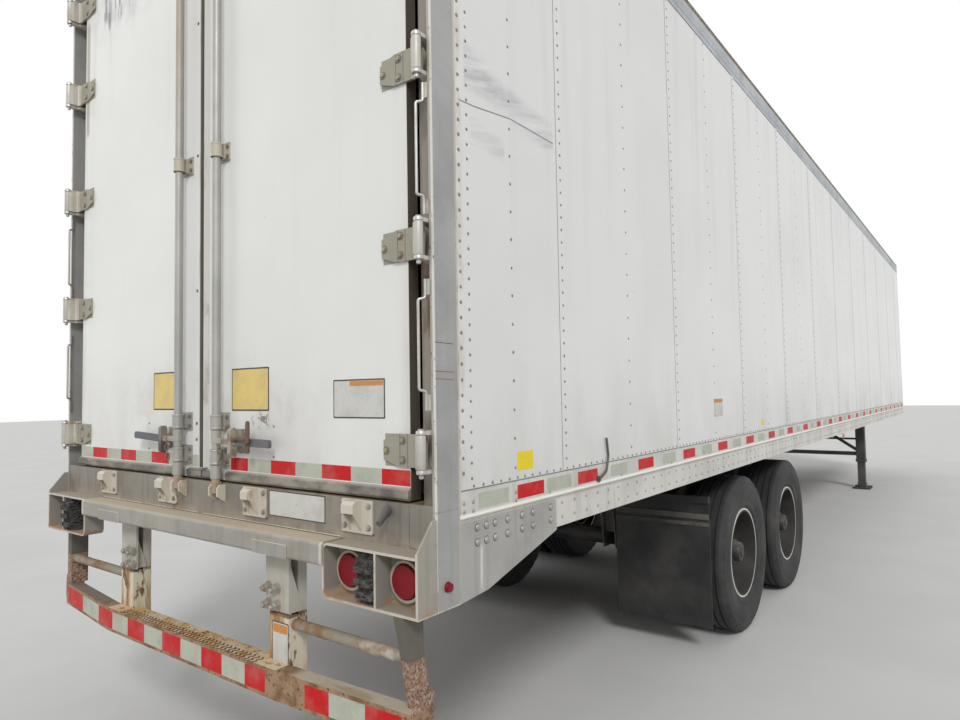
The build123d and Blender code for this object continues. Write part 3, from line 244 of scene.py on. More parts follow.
def white_sheet(name, colour, wave=0.8, rough=0.34):
    sheet = Finish(name, colour, rough=rough)
    sheet.layer(sheet.patches(0.9, 0.35, 0.75, detail=3), tuple(c * 0.93 for c in colour))
    streaks = sheet.patches(9.0, 0.52, 0.72, stretch=(1.0, 1.0, 0.05))
    sheet.layer((streaks, sheet.along("Z", 1.2, 4.2), 0.35), tuple(c * 0.72 for c in colour), 0.5)
    splash = sheet.both(sheet.along("Z", 2.0, 1.25), sheet.patches(3.0, 0.35, 0.7, stretch=(1, 1, 0.4)))
    sheet.layer((splash, 0.28), ROAD_DUST, 0.6)
    scuffs = sheet.patches(30.0, 0.70, 0.74, stretch=(0.25, 1, 1))
    sheet.layer((scuffs, 0.4), tuple(c * 0.6 for c in colour))
    sheet.relief(sheet.patches(1.6, 0.2, 0.8, detail=1), 2.2 * wave)
    sheet.relief(sheet.patches(420.0, 0.3, 0.7, detail=1), 0.02)
    return sheet


side_white = white_sheet("white_side_sheet", (0.74, 0.745, 0.735))
print("side sheet:", side_white.material.name)

# %% [markdown]
# ## Marks on the right side
# Something brushed the sheet behind the rear post: a slanting smear of fine hatching and a long scratch
# that bends twice. Tan dirt gathers beside the post. The left side wasn't in sight, so one mask keeps
# the marks on the right.

# %% Smear, scratch and dirt
on_right = side_white.short_of("Y", -1.285, 0.002)
hatch = side_white.patches(26.0, 0.36, 0.74, stretch=(0.10, 1.0, 1.0), tilt=0.24)
cloud = side_white.patches(4.0, 0.30, 0.60)
for start, end, wide, dark in (
    ((rear + 0.17, 2.725), (rear + 0.74, 2.640), 0.085, 0.50),
    ((rear + 0.17, 2.765), (rear + 0.36, 2.735), 0.075, 0.25),
    ((rear + 0.20, 2.535), (rear + 0.40, 2.500), 0.055, 0.35),
):
    wiped = side_white.both(side_white.stroke("X", "Z", start, end, wide), hatch, cloud, on_right, dark)
    side_white.layer(wiped, (0.30, 0.30, 0.32), 0.55)
for start, end in (((0.14, 2.608), (0.22, 2.612)), ((0.22, 2.612), (0.44, 2.638)), ((0.44, 2.638), (0.74, 2.634))):
    line = side_white.stroke("X", "Z", (rear + start[0], start[1]), (rear + end[0], end[1]), 0.0035)
    side_white.layer((line, on_right, 0.85), (0.13, 0.13, 0.14), 0.6)
near_post = side_white.both(side_white.window("X", rear + 0.112, rear + 0.150, 0.012), 0.45)
side_white.layer((near_post, side_white.patches(20.0, 0.40, 0.66, stretch=(1, 1, 0.3))), (0.46, 0.38, 0.27), 0.6)
print("marks laid on the right side")

# %% [markdown]
# ## Marks on the doors
# Hands and loading docks mark a door's outer face: dirt round the handles, scrapes near the top,
# knocks beside the hasp, the print of an old strip near the left hinges. Each mark is a window of
# noise. `outer` keeps them all off the inner face, which swings into view when the door opens.

# %% Door sheet
door_white = white_sheet("white_door_sheet", (0.76, 0.76, 0.735), wave=0.4)
outer = door_white.short_of("X", door_face + 0.012, 0.002)
handled = door_white.both(
    outer, door_white.window("Z", 1.3, 1.75, 0.2),
    door_white.patches(5.0, 0.45, 0.7),
    door_white.window("Y", -0.7, 0.7, 0.25),
)
door_white.layer((handled, 0.35), (0.42, 0.38, 0.31), 0.6)
brushed = door_white.both(
    outer, door_white.window("Y", 0.70, 1.02, 0.06), door_white.window("Z", 3.55, 3.80, 0.05),
    door_white.patches(34.0, 0.55, 0.62, stretch=(1, 1, 0.12)),
)
door_white.layer((brushed, 0.75), (0.16, 0.16, 0.17), 0.6)
haze = door_white.both(outer, door_white.window("Y", 0.45, 1.04, 0.1), door_white.window("Z", 3.52, 3.85, 0.06))
door_white.layer((haze, door_white.patches(9.0, 0.4, 0.7), 0.35), (0.36, 0.36, 0.38), 0.6)
knocks = door_white.both(
    outer, door_white.window("Y", -0.44, -0.34, 0.03), door_white.window("Z", 1.53, 1.58, 0.02),
    door_white.patches(38.0, 0.50, 0.58),
)
door_white.layer((knocks, 0.8), (0.16, 0.11, 0.08), 0.8)
old_strip = door_white.both(
    outer, door_white.window("Y", 1.128, 1.160, 0.003), door_white.window("Z", 3.05, 3.66, 0.02),
)
door_white.layer((old_strip, 0.6), (0.30, 0.27, 0.18), 0.7)
edge_dirt = door_white.both(door_white.outside(1.150, 0.03), 0.35)
door_white.layer((edge_dirt, door_white.patches(8.0, 0.3, 0.7, stretch=(1, 1, 0.3))), (0.40, 0.37, 0.30), 0.6)
door_white.layer(door_white.outside(1.1735), (0.075, 0.058, 0.045), 0.7)
print("door sheet:", door_white.material.name)

# %% [markdown]
# ## The doors' drip edge
# A metal strip along each door's foot throws the rain off. It is one solid with the door, so a mask
# below its upper edge gives it its own colour and metal.

# %% Drip edge
drip = door_white.both(door_white.short_of("Z", 1.3508), door_white.short_of("X", door_face - 0.001))
door_white.layer(drip, (0.14, 0.13, 0.115), 0.42, 0.55)
drip_dust = door_white.both(drip, door_white.patches(7.0, 0.36, 0.66, stretch=(1, 1, 2.0)))
door_white.layer((drip_dust, 0.8), (0.36, 0.33, 0.27), 0.7, 0.1)
door_white.layer((drip, door_white.along("Z", 1.338, 1.349), 0.7), (0.50, 0.47, 0.40), 0.6, 0.1)
print("drip edge on", door_white.material.name)

# %% [markdown]
# ## The roof
# Nobody washes a roof. It is rougher than the sides, wavier and dull with grime, which also keeps it
# from flashing white under the lamps.

# %% Roof sheet
roof_white = white_sheet("white_roof_sheet", (0.62, 0.62, 0.60), wave=1.5, rough=0.60)
grime = roof_white.patches(2.6, 0.38, 0.72, stretch=(1, 0.35, 1))
roof_white.layer((grime, 0.5), (0.34, 0.33, 0.30), 0.75)
print("roof sheet:", roof_white.material.name)

# %% [markdown]
# ## Bare and galvanised metal
# Old metal is dulled to a warm grey, with darker streaks that run down. It needs a mix of roughness
# more than a mix of colour, because its look is mostly what it reflects. One function makes them all,
# with shares for streaks, rust and dust, and later cells add what is special to each piece.

# %% Metal finishes
def weathered_metal(name, colour, metal=0.75, rough=0.42, streak=0.5, rust=0.0, dust=0.3):
    finish = Finish(name, colour, rough, metal)
    finish.layer(finish.patches(4.0, 0.35, 0.7), tuple(c * 0.82 for c in colour), rough + 0.12)
    runs = finish.patches(22.0, 0.5, 0.68, stretch=(1, 1, 0.06))
    finish.layer((runs, streak), tuple(c * 0.55 for c in colour), rough + 0.2)
    brushed = finish.patches(160.0, 0.45, 0.55, stretch=(0.03, 0.03, 1.0), detail=2)
    finish.layer((brushed, 0.5), rough=rough + 0.1)
    if dust:
        low = finish.both(finish.patches(2.2, 0.4, 0.75), dust)
        finish.layer(low, ROAD_DUST, 0.75, 0.1)
    if rust:
        bloom = finish.patches(9.0, 0.56, 0.66, shift=(3, 1, 2))
        finish.layer((bloom, rust), RUST, 0.85, 0.0)
    finish.relief(finish.patches(60.0, 0.3, 0.7), 0.15)
    return finish


galvanised = weathered_metal("galvanised_frame", (0.44, 0.43, 0.40), metal=0.5, streak=0.45, rust=0.15)
print("header metal:", galvanised.material.name)

# %% [markdown]
# ## The rear posts
# Each post has an open pocket for the hinges, brown inside and painted lighter there to lift the shade
# that falls in it, between two lips. The outer lip's edge has a thin painted highlight, the strip next
# to the side sheet is cream, and three short coloured scratches cross the right post's side at the
# height of a loading dock.

# %% Rear posts
post_metal = weathered_metal("rear_post_metal", (0.40, 0.405, 0.40), metal=0.4, rough=0.42, streak=0.25, dust=0.12)
# Inside the pocket: a brownish tint, painted lighter than the post to lift the shade that falls there.
in_pocket = post_metal.both(post_metal.beyond("X", rear + 0.003), post_metal.inside(1.2788))
post_metal.layer((in_pocket, 0.85), (0.42, 0.375, 0.31), 0.7, 0.1)
pocket_rust = post_metal.patches(13.0, 0.55, 0.66, stretch=(1, 1, 0.2))
post_metal.layer((in_pocket, pocket_rust, 0.8), (0.24, 0.13, 0.065), 0.9, 0.0)
lip_face = post_metal.short_of("X", rear + 0.0035, 0.001)
post_metal.layer(lip_face, (0.42, 0.41, 0.37), 0.5, 0.3)
# A painted highlight: the thin outer edge of the lip is painted pale, as light catches it.
lip_highlight = post_metal.both(lip_face, post_metal.outside(1.2880))
post_metal.layer(lip_highlight, (0.72, 0.69, 0.62), 0.5, 0.1)
post_metal.layer((lip_face, post_metal.patches(70.0, 0.60, 0.66, stretch=(1, 1, 0.5)), 0.8), RUST, 0.9)
post_metal.layer((post_metal.beyond("X", rear + 0.1085, 0.001), 0.9), (0.55, 0.49, 0.40), 0.6, 0.0)
cream_runs = post_metal.patches(40.0, 0.56, 0.66, stretch=(1, 1, 0.25))
post_metal.layer((post_metal.beyond("X", rear + 0.1080, 0.001), cream_runs, 0.6), (0.30, 0.20, 0.12), 0.9)
for height, paint in ((1.711, (0.34, 0.05, 0.035)), (1.6875, (0.36, 0.10, 0.07)), (1.800, (0.10, 0.08, 0.07))):
    scratch = post_metal.stroke("X", "Z", (rear, height + 0.002), (rear + 0.090, height), 0.0022)
    post_metal.layer((scratch, post_metal.outside(1.294), 0.85), paint, 0.6, 0.1)
low_line = post_metal.window("Z", 1.28, 1.285, 0.004)
post_metal.layer((low_line, post_metal.patches(9.0, 0.45, 0.6), 0.6), (0.24, 0.23, 0.21), 0.6)
print("post metal:", post_metal.material.name)

# %% [markdown]
# ## The sill and the shelf
# The deep sill is darker than the posts, and what stands proud of it is cream: the hooded brackets
# and the keepers. The shelf below catches dust on its top, its lamp boxes have pale worn rims, and
# their insides are painted darker as the shade that falls there.

# %% Sill and shelf
sill_metal = weathered_metal("rear_sill_metal", (0.275, 0.254, 0.218), metal=0.35, rough=0.5, streak=0.55, rust=0.3)
proud = sill_metal.short_of("X", rear - 0.0006)
sill_metal.layer(proud, (0.58, 0.545, 0.46), 0.55, 0.1)
sill_metal.layer((proud, sill_metal.patches(16.0, 0.52, 0.66, stretch=(1, 1, 0.4)), 0.6), (0.33, 0.22, 0.13), 0.85, 0.0)
peg = sill_metal.both(proud, sill_metal.window("Y", -1.140, -1.060, 0.0005), sill_metal.along("Z", 1.200, 1.203))
sill_metal.layer(peg, (0.15, 0.145, 0.14), 0.5, 0.5)
sill_dust = sill_metal.both(sill_metal.along("Z", 1.21, 1.165), sill_metal.patches(6.0, 0.35, 0.65), 0.7)
sill_metal.layer(sill_dust, (0.46, 0.38, 0.28), 0.8, 0.0)

shelf_metal = weathered_metal("rear_shelf_metal", (0.40, 0.385, 0.345), metal=0.4, rough=0.5, streak=0.35, rust=0.15)
shelf_metal.layer((shelf_metal.upward(), 0.9), (0.48, 0.40, 0.30), 0.85, 0.0)
rims = shelf_metal.both(shelf_metal.short_of("X", rear - 0.0885), shelf_metal.outside(0.868))
shelf_metal.layer((rims, 0.85), (0.60, 0.56, 0.48), 0.55, 0.1)
# Painted shade: the inside of each lamp box is made darker, as the shade in the recess.
inside_box = shelf_metal.both(
    shelf_metal.beyond("X", rear - 0.086), shelf_metal.outside(0.872), shelf_metal.inside(1.2885),
)
shelf_metal.layer((inside_box, 0.65), (0.27, 0.245, 0.21), 0.7, 0.1)
box_foot = shelf_metal.both(shelf_metal.outside(0.868), shelf_metal.window("Z", 0.985, 1.01, 0.012))
shelf_metal.layer((box_foot, shelf_metal.patches(8.0, 0.4, 0.6)), (0.42, 0.27, 0.16), 0.85)
print("sill and shelf:", sill_metal.material.name, shelf_metal.material.name)

# %% [markdown]
# ## Corner plates and rails
# The corner plates are stainless with a pale run under one bolt. The bottom rail is aluminium with a
# chalky skin: a painted highlight on its ridge, a painted shadow below it and a dark line under the
# sheets' foot show how it is pressed. The top rail is bluish and has a dirty upper edge.

# %% Corner plates and rails
stainless = weathered_metal("stainless_plate", (0.50, 0.49, 0.465), metal=0.65, rough=0.36, streak=0.3, dust=0.15)
runs = stainless.both(stainless.window("X", rear + 0.213, rear + 0.235, 0.004), stainless.window("Z", 1.01, 1.15, 0.03))
stainless.layer((runs, stainless.patches(30.0, 0.4, 0.6, stretch=(1, 1, 0.1)), 0.7), (0.72, 0.71, 0.68), 0.6, 0.0)
rail_metal = weathered_metal("rail_aluminium", (0.68, 0.665, 0.62), metal=0.12, rough=0.45, streak=0.3, dust=0.15)
# A painted highlight along the ridge's top, then a painted shadow line just below the ridge.
rail_metal.layer(rail_metal.window("Z", 1.247, 1.2585, 0.001), (0.80, 0.78, 0.73), 0.45)
rail_metal.layer((rail_metal.window("Z", 1.2385, 1.2440, 0.0012), 0.8), (0.30, 0.275, 0.235), 0.7)
rail_metal.layer((rail_metal.window("Z", 1.3300, 1.3345, 0.0008), 0.85), (0.15, 0.145, 0.14), 0.7)
top_metal = weathered_metal("top_rail", (0.46, 0.49, 0.52), metal=0.35, rough=0.42, streak=0.25, dust=0.1)
top_metal.layer(top_metal.beyond("Z", 3.952, 0.004), (0.13, 0.105, 0.075), 0.75, 0.1)
top_metal.layer((top_metal.beyond("Z", 3.952, 0.004), top_metal.patches(30.0, 0.45, 0.6)), (0.26, 0.23, 0.17), 0.8)
top_metal.layer((top_metal.window("Z", 3.905, 3.909, 0.002), 0.5), (0.20, 0.21, 0.22), 0.5)
print("rails:", rail_metal.material.name, top_metal.material.name)

# %% [markdown]
# ## Lock rods
# The rods are galvanised tubes, tan at the top of the right one. The hasps beside them are browner,
# the rods' feet are rusty, and the upper guides keep their cream paint.

# %% Lock rods
rod_metal = weathered_metal("lock_rod_metal", (0.43, 0.425, 0.395), metal=0.45, rough=0.42, streak=0.4, dust=0.15)
rod_metal.layer((rod_metal.along("Z", 2.6, 3.3), rod_metal.along("Y", 0.0, 0.05), 0.6), (0.40, 0.32, 0.23), 0.6, 0.1)
off_rod = rod_metal.both(rod_metal.outside(0.174, 0.002), rod_metal.window("Z", 1.400, 1.535, 0.003))
rod_metal.layer(off_rod, (0.38, 0.345, 0.285), 0.65, 0.2)
rod_metal.layer((off_rod, rod_metal.patches(30.0, 0.44, 0.58)), (0.17, 0.10, 0.06), 0.9, 0.0)
left_hasp = rod_metal.both(off_rod, rod_metal.window("Y", 0.2515, 0.2745, 0.0005))
rod_metal.layer(left_hasp, (0.17, 0.145, 0.12), 0.7, 0.1)
rod_metal.layer((left_hasp, rod_metal.along("Z", 1.47, 1.44), 0.7), (0.05, 0.05, 0.055), 0.7, 0.1)
foot = rod_metal.both(rod_metal.along("Z", 1.335, 1.30), rod_metal.patches(12.0, 0.25, 0.55))
rod_metal.layer((foot, 0.8), (0.36, 0.22, 0.13), 0.85, 0.0)
for z in (2.660, 3.700):
    rod_metal.layer((rod_metal.window("Z", z - 0.0310, z + 0.0310, 0.001), 0.8), (0.50, 0.45, 0.35), 0.6, 0.1)
collars = rod_metal.both(rod_metal.window("Z", 1.31, 1.585, 0.01), rod_metal.patches(9.0, 0.35, 0.65))
rod_metal.layer((collars, 0.45), (0.36, 0.34, 0.28), 0.65, 0.1)
print("rods:", rod_metal.material.name)

# %% [markdown]
# ## Metal of small pieces
# Rivets and bolts age in their own way: brown on the posts, brassy on the hinges and bright on the
# corner plates, while the plain rivets of the sides, nose and roof are painted dark grey as their shade.
# Each is one call with its colour and its share of rust.

# %% Metal of small pieces
bright_metal = weathered_metal(
    "bright_rod_metal", (0.55, 0.545, 0.52), metal=0.7, rough=0.32, streak=0.3, rust=0.15, dust=0.1,
)
fixing_metal = weathered_metal("bolt_metal", (0.42, 0.40, 0.36), metal=0.6, rough=0.4, streak=0.3, rust=0.5)
# Painted shade: this dark grey stands for the shadow each small rivet casts on the sheet.
rivet_metal = weathered_metal("side_rivet_metal", (0.27, 0.27, 0.27), metal=0.4, rough=0.45, streak=0.3)
brown_rivet = weathered_metal("rusty_rivet_metal", (0.21, 0.165, 0.12), metal=0.2, rough=0.6, streak=0.3, rust=0.6)
post_rivet_metal = weathered_metal("post_rivet_metal", (0.30, 0.26, 0.21), metal=0.2, rough=0.5, streak=0.3, rust=0.3)
hinge_bolt_metal = weathered_metal("hinge_bolt_metal", (0.40, 0.34, 0.22), metal=0.55, rough=0.35, streak=0.3, rust=0.5)
corner_bolt_metal = weathered_metal(
    "corner_bolt_metal", (0.42, 0.41, 0.385), metal=0.5, rough=0.35, streak=0.2, dust=0.1,
)
# Painted shade: the holdback hooks are made near-black, as the shade they hang in.
dark_hook = weathered_metal(
    "dark_hook_metal", (0.10, 0.105, 0.11), metal=0.5, rough=0.45, streak=0.2, rust=0.3, dust=0.2,
)
print("metals ready")

# %% [markdown]
# ## Cream hinge steel
# The hinges have a cream-grey coat with brown runs and specks of rust. Their leaves on the doors are
# greener and darker, with two pressed grooves drawn as dark lines.

# %% Hinge steel
cream = Finish("cream_steel", (0.58, 0.55, 0.47), rough=0.5, metal=0.15)
cream.layer(cream.patches(6.0, 0.35, 0.7), (0.47, 0.44, 0.37), 0.6)
cream.layer((cream.patches(26.0, 0.5, 0.7, stretch=(1, 1, 0.12)), 0.5), (0.30, 0.255, 0.19), 0.7)
cream.layer((cream.patches(16.0, 0.61, 0.68), 0.7), RUST, 0.85, 0.0)
leaf = cream.inside(1.205, 0.003)
cream.layer((leaf, 0.85), (0.29, 0.275, 0.215), 0.55, 0.2)
for groove in (1.136, 1.169):
    away = cream.maths("ABSOLUTE", cream.maths("SUBTRACT", cream.maths("ABSOLUTE", cream.axis("Y")), groove))
    cream.layer((cream.ramp(away, 0.0022, 0.0008), leaf, 0.8), (0.10, 0.095, 0.08), 0.7)
cream.relief(cream.patches(80.0, 0.3, 0.7), 0.2)
print("hinge steel:", cream.material.name)

# %% [markdown]
# ## The guard's posts, steps and struts
# The underride guard was cream too, until rust took its lower half. The rust mask grows towards the
# road, and rust is rough, never metallic. The lower posts show cream with brown runs under a dark
# weld, the steps are brown with pale patches, and the struts are painted near-black above as shade
# and are red-brown below.

# %% Guard posts, steps and struts
post_edge, strut_edge = 0.6215, 1.1955
guard_rust = Finish("rusty_guard", (0.47, 0.455, 0.40), rough=0.55, metal=0.1)
guard_rust.layer(guard_rust.patches(5.0, 0.35, 0.7), (0.40, 0.375, 0.315), 0.65)
low_post = guard_rust.both(guard_rust.along("Z", 0.866, 0.862), guard_rust.inside(post_edge, 0.0005))
guard_rust.layer((low_post, 0.85), (0.66, 0.60, 0.455), 0.65, 0.0)
guard_rust.layer((low_post, guard_rust.patches(13.0, 0.47, 0.60, stretch=(1, 1, 0.14))), (0.36, 0.19, 0.06), 0.85, 0.0)
guard_rust.layer((low_post, guard_rust.patches(30.0, 0.55, 0.63, stretch=(1, 1, 0.4))), (0.16, 0.085, 0.04), 0.9, 0.0)
weld_line = guard_rust.both(guard_rust.window("Z", 0.853, 0.866, 0.003), guard_rust.inside(post_edge, 0.0005))
guard_rust.layer((weld_line, guard_rust.patches(20.0, 0.35, 0.55), 0.9), (0.14, 0.075, 0.04), 0.9, 0.0)
runs = guard_rust.patches(20.0, 0.50, 0.64, stretch=(1, 1, 0.12))
guard_rust.layer((runs, guard_rust.along("Z", 1.05, 0.80), 0.75), (0.33, 0.19, 0.085), 0.85, 0.0)
steps = guard_rust.both(guard_rust.window("Z", 0.805, 0.852, 0.001), guard_rust.outside(post_edge, 0.0005))
guard_rust.layer((steps, 0.9), (0.27, 0.235, 0.175), 0.75, 0.0)
guard_rust.layer((steps, guard_rust.patches(5.0, 0.52, 0.62, shift=(2, 0, 0)), 0.9), (0.55, 0.50, 0.41), 0.7, 0.0)
guard_rust.layer((steps, guard_rust.patches(9.0, 0.44, 0.6)), (0.24, 0.14, 0.075), 0.9, 0.0)
on_struts = guard_rust.outside(strut_edge, 0.0005)
# Painted shade: the struts' upper parts are made near-black, as the shade they stand in.
guard_rust.layer((on_struts, 0.9), (0.095, 0.088, 0.068), 0.75, 0.0)
low_strut = guard_rust.both(on_struts, guard_rust.along("Z", 0.850, 0.836))
guard_rust.layer((low_strut, 0.95), (0.30, 0.185, 0.125), 0.85, 0.0)
guard_rust.layer((low_strut, guard_rust.patches(75.0, 0.48, 0.60)), (0.42, 0.32, 0.24), 0.95, 0.0)
guard_rust.layer((low_strut, guard_rust.patches(110.0, 0.50, 0.58, shift=(1, 2, 3))), (0.15, 0.075, 0.045), 0.95, 0.0)
print("posts, steps and struts rusted")

# %% [markdown]
# ## The guard's bar and tread
# The bar behind the tape is bare rust in three tones. The tread between the posts has only rust and
# yellow dust left. The bar's right end is pale on top, and its left end is painted dark on top as shade.

# %% Guard bar and tread
bar_low = guard_rust.along("Z", 0.6962, 0.6955)
on_bar = guard_rust.maths(
    "MAXIMUM", guard_rust.both(bar_low, guard_rust.short_of("X", rear - 0.0295)),
    guard_rust.both(bar_low, guard_rust.outside(post_edge, 0.0005)),
)
guard_rust.layer(on_bar, (0.33, 0.215, 0.125), 0.85, 0.0)
guard_rust.layer((on_bar, guard_rust.patches(14.0, 0.42, 0.62)), (0.20, 0.105, 0.055), 0.9, 0.0)
guard_rust.layer((on_bar, guard_rust.patches(60.0, 0.56, 0.66)), (0.10, 0.055, 0.032), 0.95, 0.0)
tread = guard_rust.both(guard_rust.upward(), guard_rust.along("Z", 0.705, 0.699), guard_rust.inside(0.622))
guard_rust.layer((tread, 0.9), (0.66, 0.53, 0.36), 0.9, 0.0)
guard_rust.layer((tread, guard_rust.patches(9.0, 0.46, 0.62)), (0.55, 0.33, 0.12), 0.9, 0.0)
guard_rust.layer((tread, guard_rust.patches(30.0, 0.54, 0.64), 0.8), (0.27, 0.14, 0.06), 0.9, 0.0)
pale_top = guard_rust.both(guard_rust.upward(), on_bar, guard_rust.along("Y", -0.66, -0.74))
guard_rust.layer((pale_top, 0.9), (0.52, 0.46, 0.36), 0.75, 0.0)
guard_rust.layer((pale_top, guard_rust.patches(12.0, 0.48, 0.62, stretch=(1, 0.3, 1)), 0.8), (0.36, 0.27, 0.17), 0.85)
# Painted shade: the top of the bar's left end is made dark, as the shade that lies there.
shaded_left_top = guard_rust.both(guard_rust.upward(), on_bar, guard_rust.along("Y", 0.66, 0.74))
guard_rust.layer((shaded_left_top, 0.8), (0.17, 0.15, 0.125), 0.8, 0.0)
guard_rust.relief(guard_rust.patches(45.0, 0.35, 0.65, detail=8), 0.6)
print("guard:", guard_rust.material.name)

# %% [markdown]
# ## Black steel
# The gear under the box was painted black once. Dust dulls it, above all where it faces up, and dark
# rust breaks through. Three pieces get three shades.

# %% Black steel
def black_steel(name, colour=(0.030, 0.030, 0.032), dust=0.55, rust=0.35):
    finish = Finish(name, colour, rough=0.5)
    finish.layer((finish.patches(3.5, 0.35, 0.75), dust), (0.16, 0.145, 0.125), 0.8)
    finish.layer((finish.patches(14.0, 0.55, 0.66), rust), DARK_RUST, 0.9)
    finish.layer((finish.upward(), finish.patches(6.0, 0.3, 0.6), 0.5), (0.20, 0.175, 0.14), 0.9)
    finish.relief(finish.patches(70.0, 0.3, 0.7), 0.25)
    return finish


black = black_steel("black_undergear")
beam_grey = black_steel("dark_cross_members", (0.045, 0.045, 0.046), 0.7, 0.5)
leg_black = black_steel("landing_leg_paint", (0.035, 0.035, 0.038), 0.45, 0.3)
print("painted steels ready")

# %% [markdown]
# ## Rubber, lamps, tape and labels
# Tape is retroreflective: a pale green-grey or a clear red with a fine hexagon texture. Labels are
# plain plates with a yellow or white ground, dirty and a little cracked.

# %% Rubber, lens, tape and label finishes
def rubber(name, colour, dust, grain=90.0):
    finish = Finish(name, colour, rough=0.72)
    finish.layer((finish.patches(4.0, 0.35, 0.75), dust), (0.15, 0.14, 0.125), 0.9)
    finish.relief(finish.patches(grain, 0.3, 0.7), 0.3)
    return finish


def lens(name, colour):
    finish = Finish(name, colour, rough=0.42)
    finish.shader.inputs["Specular IOR Level"].default_value = 0.3
    finish.layer((finish.patches(30.0, 0.5, 0.7), 0.35), tuple(c * 0.5 for c in colour), 0.5)
    cells = finish.make("ShaderNodeTexVoronoi")
    finish.feed(cells.inputs["Vector"], finish.where)
    cells.inputs["Scale"].default_value = 160.0
    finish.relief(cells.outputs["Distance"], 0.8)
    return finish


def tape(name, colour, dirt):
    finish = Finish(name, colour, rough=0.5)
    finish.shader.inputs["Specular IOR Level"].default_value = 0.3
    cells = finish.make("ShaderNodeTexVoronoi", feature="DISTANCE_TO_EDGE")
    finish.feed(cells.inputs["Vector"], finish.where)
    cells.inputs["Scale"].default_value = 180.0
    finish.layer(finish.ramp(cells.outputs["Distance"], 0.06, 0.02), tuple(c * 0.8 for c in colour))
    finish.layer((finish.patches(11.0, 0.42, 0.7), dirt), ROAD_DUST, 0.7)
    finish.layer((finish.patches(55.0, 0.66, 0.70), dirt), (0.16, 0.15, 0.14), 0.8)
    return finish
print("helpers for rubber, lenses and tape ready")

# %% [markdown]
# ## Rubbers and colours
# Each rubber and each tape colour is one call. The dock bumpers are worn so far that they need relief
# of several millimetres, and the centre seals are dark in the middle with pale edges.

# %% Rubbers and colours
tyre_rubber = rubber("tyre_rubber", (0.017, 0.017, 0.019), 0.28)
flap_rubber = rubber("mud_flap_rubber", (0.013, 0.013, 0.014), 0.22)
bumper_rubber = rubber("dock_bumper_rubber", (0.040, 0.037, 0.034), 0.9, grain=30.0)
bumper_rubber.layer(bumper_rubber.patches(50.0, 0.48, 0.60, stretch=(1, 1, 2.4)), (0.012, 0.012, 0.012), 0.95)
bumper_rubber.layer((bumper_rubber.patches(70.0, 0.56, 0.64, stretch=(1, 1, 2.4)), 0.7), (0.17, 0.16, 0.145), 0.95)
bumper_rubber.relief(bumper_rubber.patches(42.0, 0.3, 0.7, stretch=(1, 1, 2.2), detail=8), 6.0)
handle_grey = weathered_metal(
    "handle_slate_grey", (0.125, 0.135, 0.145), metal=0.3, rough=0.5, streak=0.2, rust=0.35, dust=0.25,
)
seal_rubber = rubber("door_seal_rubber", (0.075, 0.058, 0.045), 0.4)
seal_rubber.layer(seal_rubber.outside(0.0135), (0.60, 0.595, 0.56), 0.6)
seal_dirt = seal_rubber.patches(18.0, 0.5, 0.66, stretch=(1, 1, 0.2))
seal_rubber.layer((seal_rubber.outside(0.0135), seal_dirt, 0.6), (0.27, 0.22, 0.16), 0.8)
red_lens = lens("red_lens", (0.21, 0.004, 0.010))
amber_lens = lens("amber_lens", (0.72, 0.22, 0.012))
red_tape = tape("red_reflective_tape", (0.56, 0.004, 0.006), 0.22)
white_tape = tape("white_reflective_tape", (0.47, 0.50, 0.41), 0.5)
yellow_label = tape("blank_yellow_label", (0.76, 0.58, 0.20), 0.3)
clear_yellow = tape("clear_yellow_label", (0.84, 0.66, 0.02), 0.12)
white_label = tape("blank_white_label", (0.62, 0.62, 0.58), 0.35)
orange_label = tape("orange_label_strip", (0.62, 0.25, 0.05), 0.3)
print("rubber, lenses, tape and labels ready")

# %% [markdown]
# ## Put the finishes on the solids
# The solids keep their meshes, so each one only gets its finish in its material slots. The wheels need
# one of their own: the cream rim is painted dark as shade, with only a thin pale edge left where light
# falls, and the dished disc inside is dark too, with brake dust, so that finish works out its distance
# from the axle.

# %% Wheel finish
AXLES = ("rear", "front")


def axle_place(name):
    """Where the axle of a wheel or tyre runs, as x and z."""
    low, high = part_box(name)
    return (low.x + high.x) / 2, (low.z + high.z) / 2


def wheel_finish(axle):
    x, z = axle_place(f"wheels_{axle}_right")
    # Painted shade: the rim's base colour is near-black, as the shade inside the wheel.
    finish = Finish(f"rim_{axle}", (0.045, 0.044, 0.042), rough=0.55, metal=0.2)
    away = finish.radius(x, z)
    finish.layer((finish.patches(6.0, 0.35, 0.7), 0.5), (0.10, 0.092, 0.075), 0.7)
    disc = finish.ramp(away, 0.283, 0.262)
    finish.layer(disc, (0.055, 0.052, 0.048), 0.65, 0.2)
    finish.layer((disc, finish.patches(11.0, 0.5, 0.7), 0.7), (0.12, 0.085, 0.06), 0.85)
    # The rim's thin edge keeps a pale cream, as the lit part of a rim otherwise painted dark as shade.
    finish.layer(finish.ramp(away, 0.2865, 0.2885), (0.74, 0.72, 0.65), 0.4, 0.1)
    finish.relief(finish.patches(60.0, 0.3, 0.7), 0.2)
    return finish
print("wheel finish ready")

# %% [markdown]
# ## Which finish goes where
# One table from finish to solids is easier to check than a line for each of the fifty nodes.

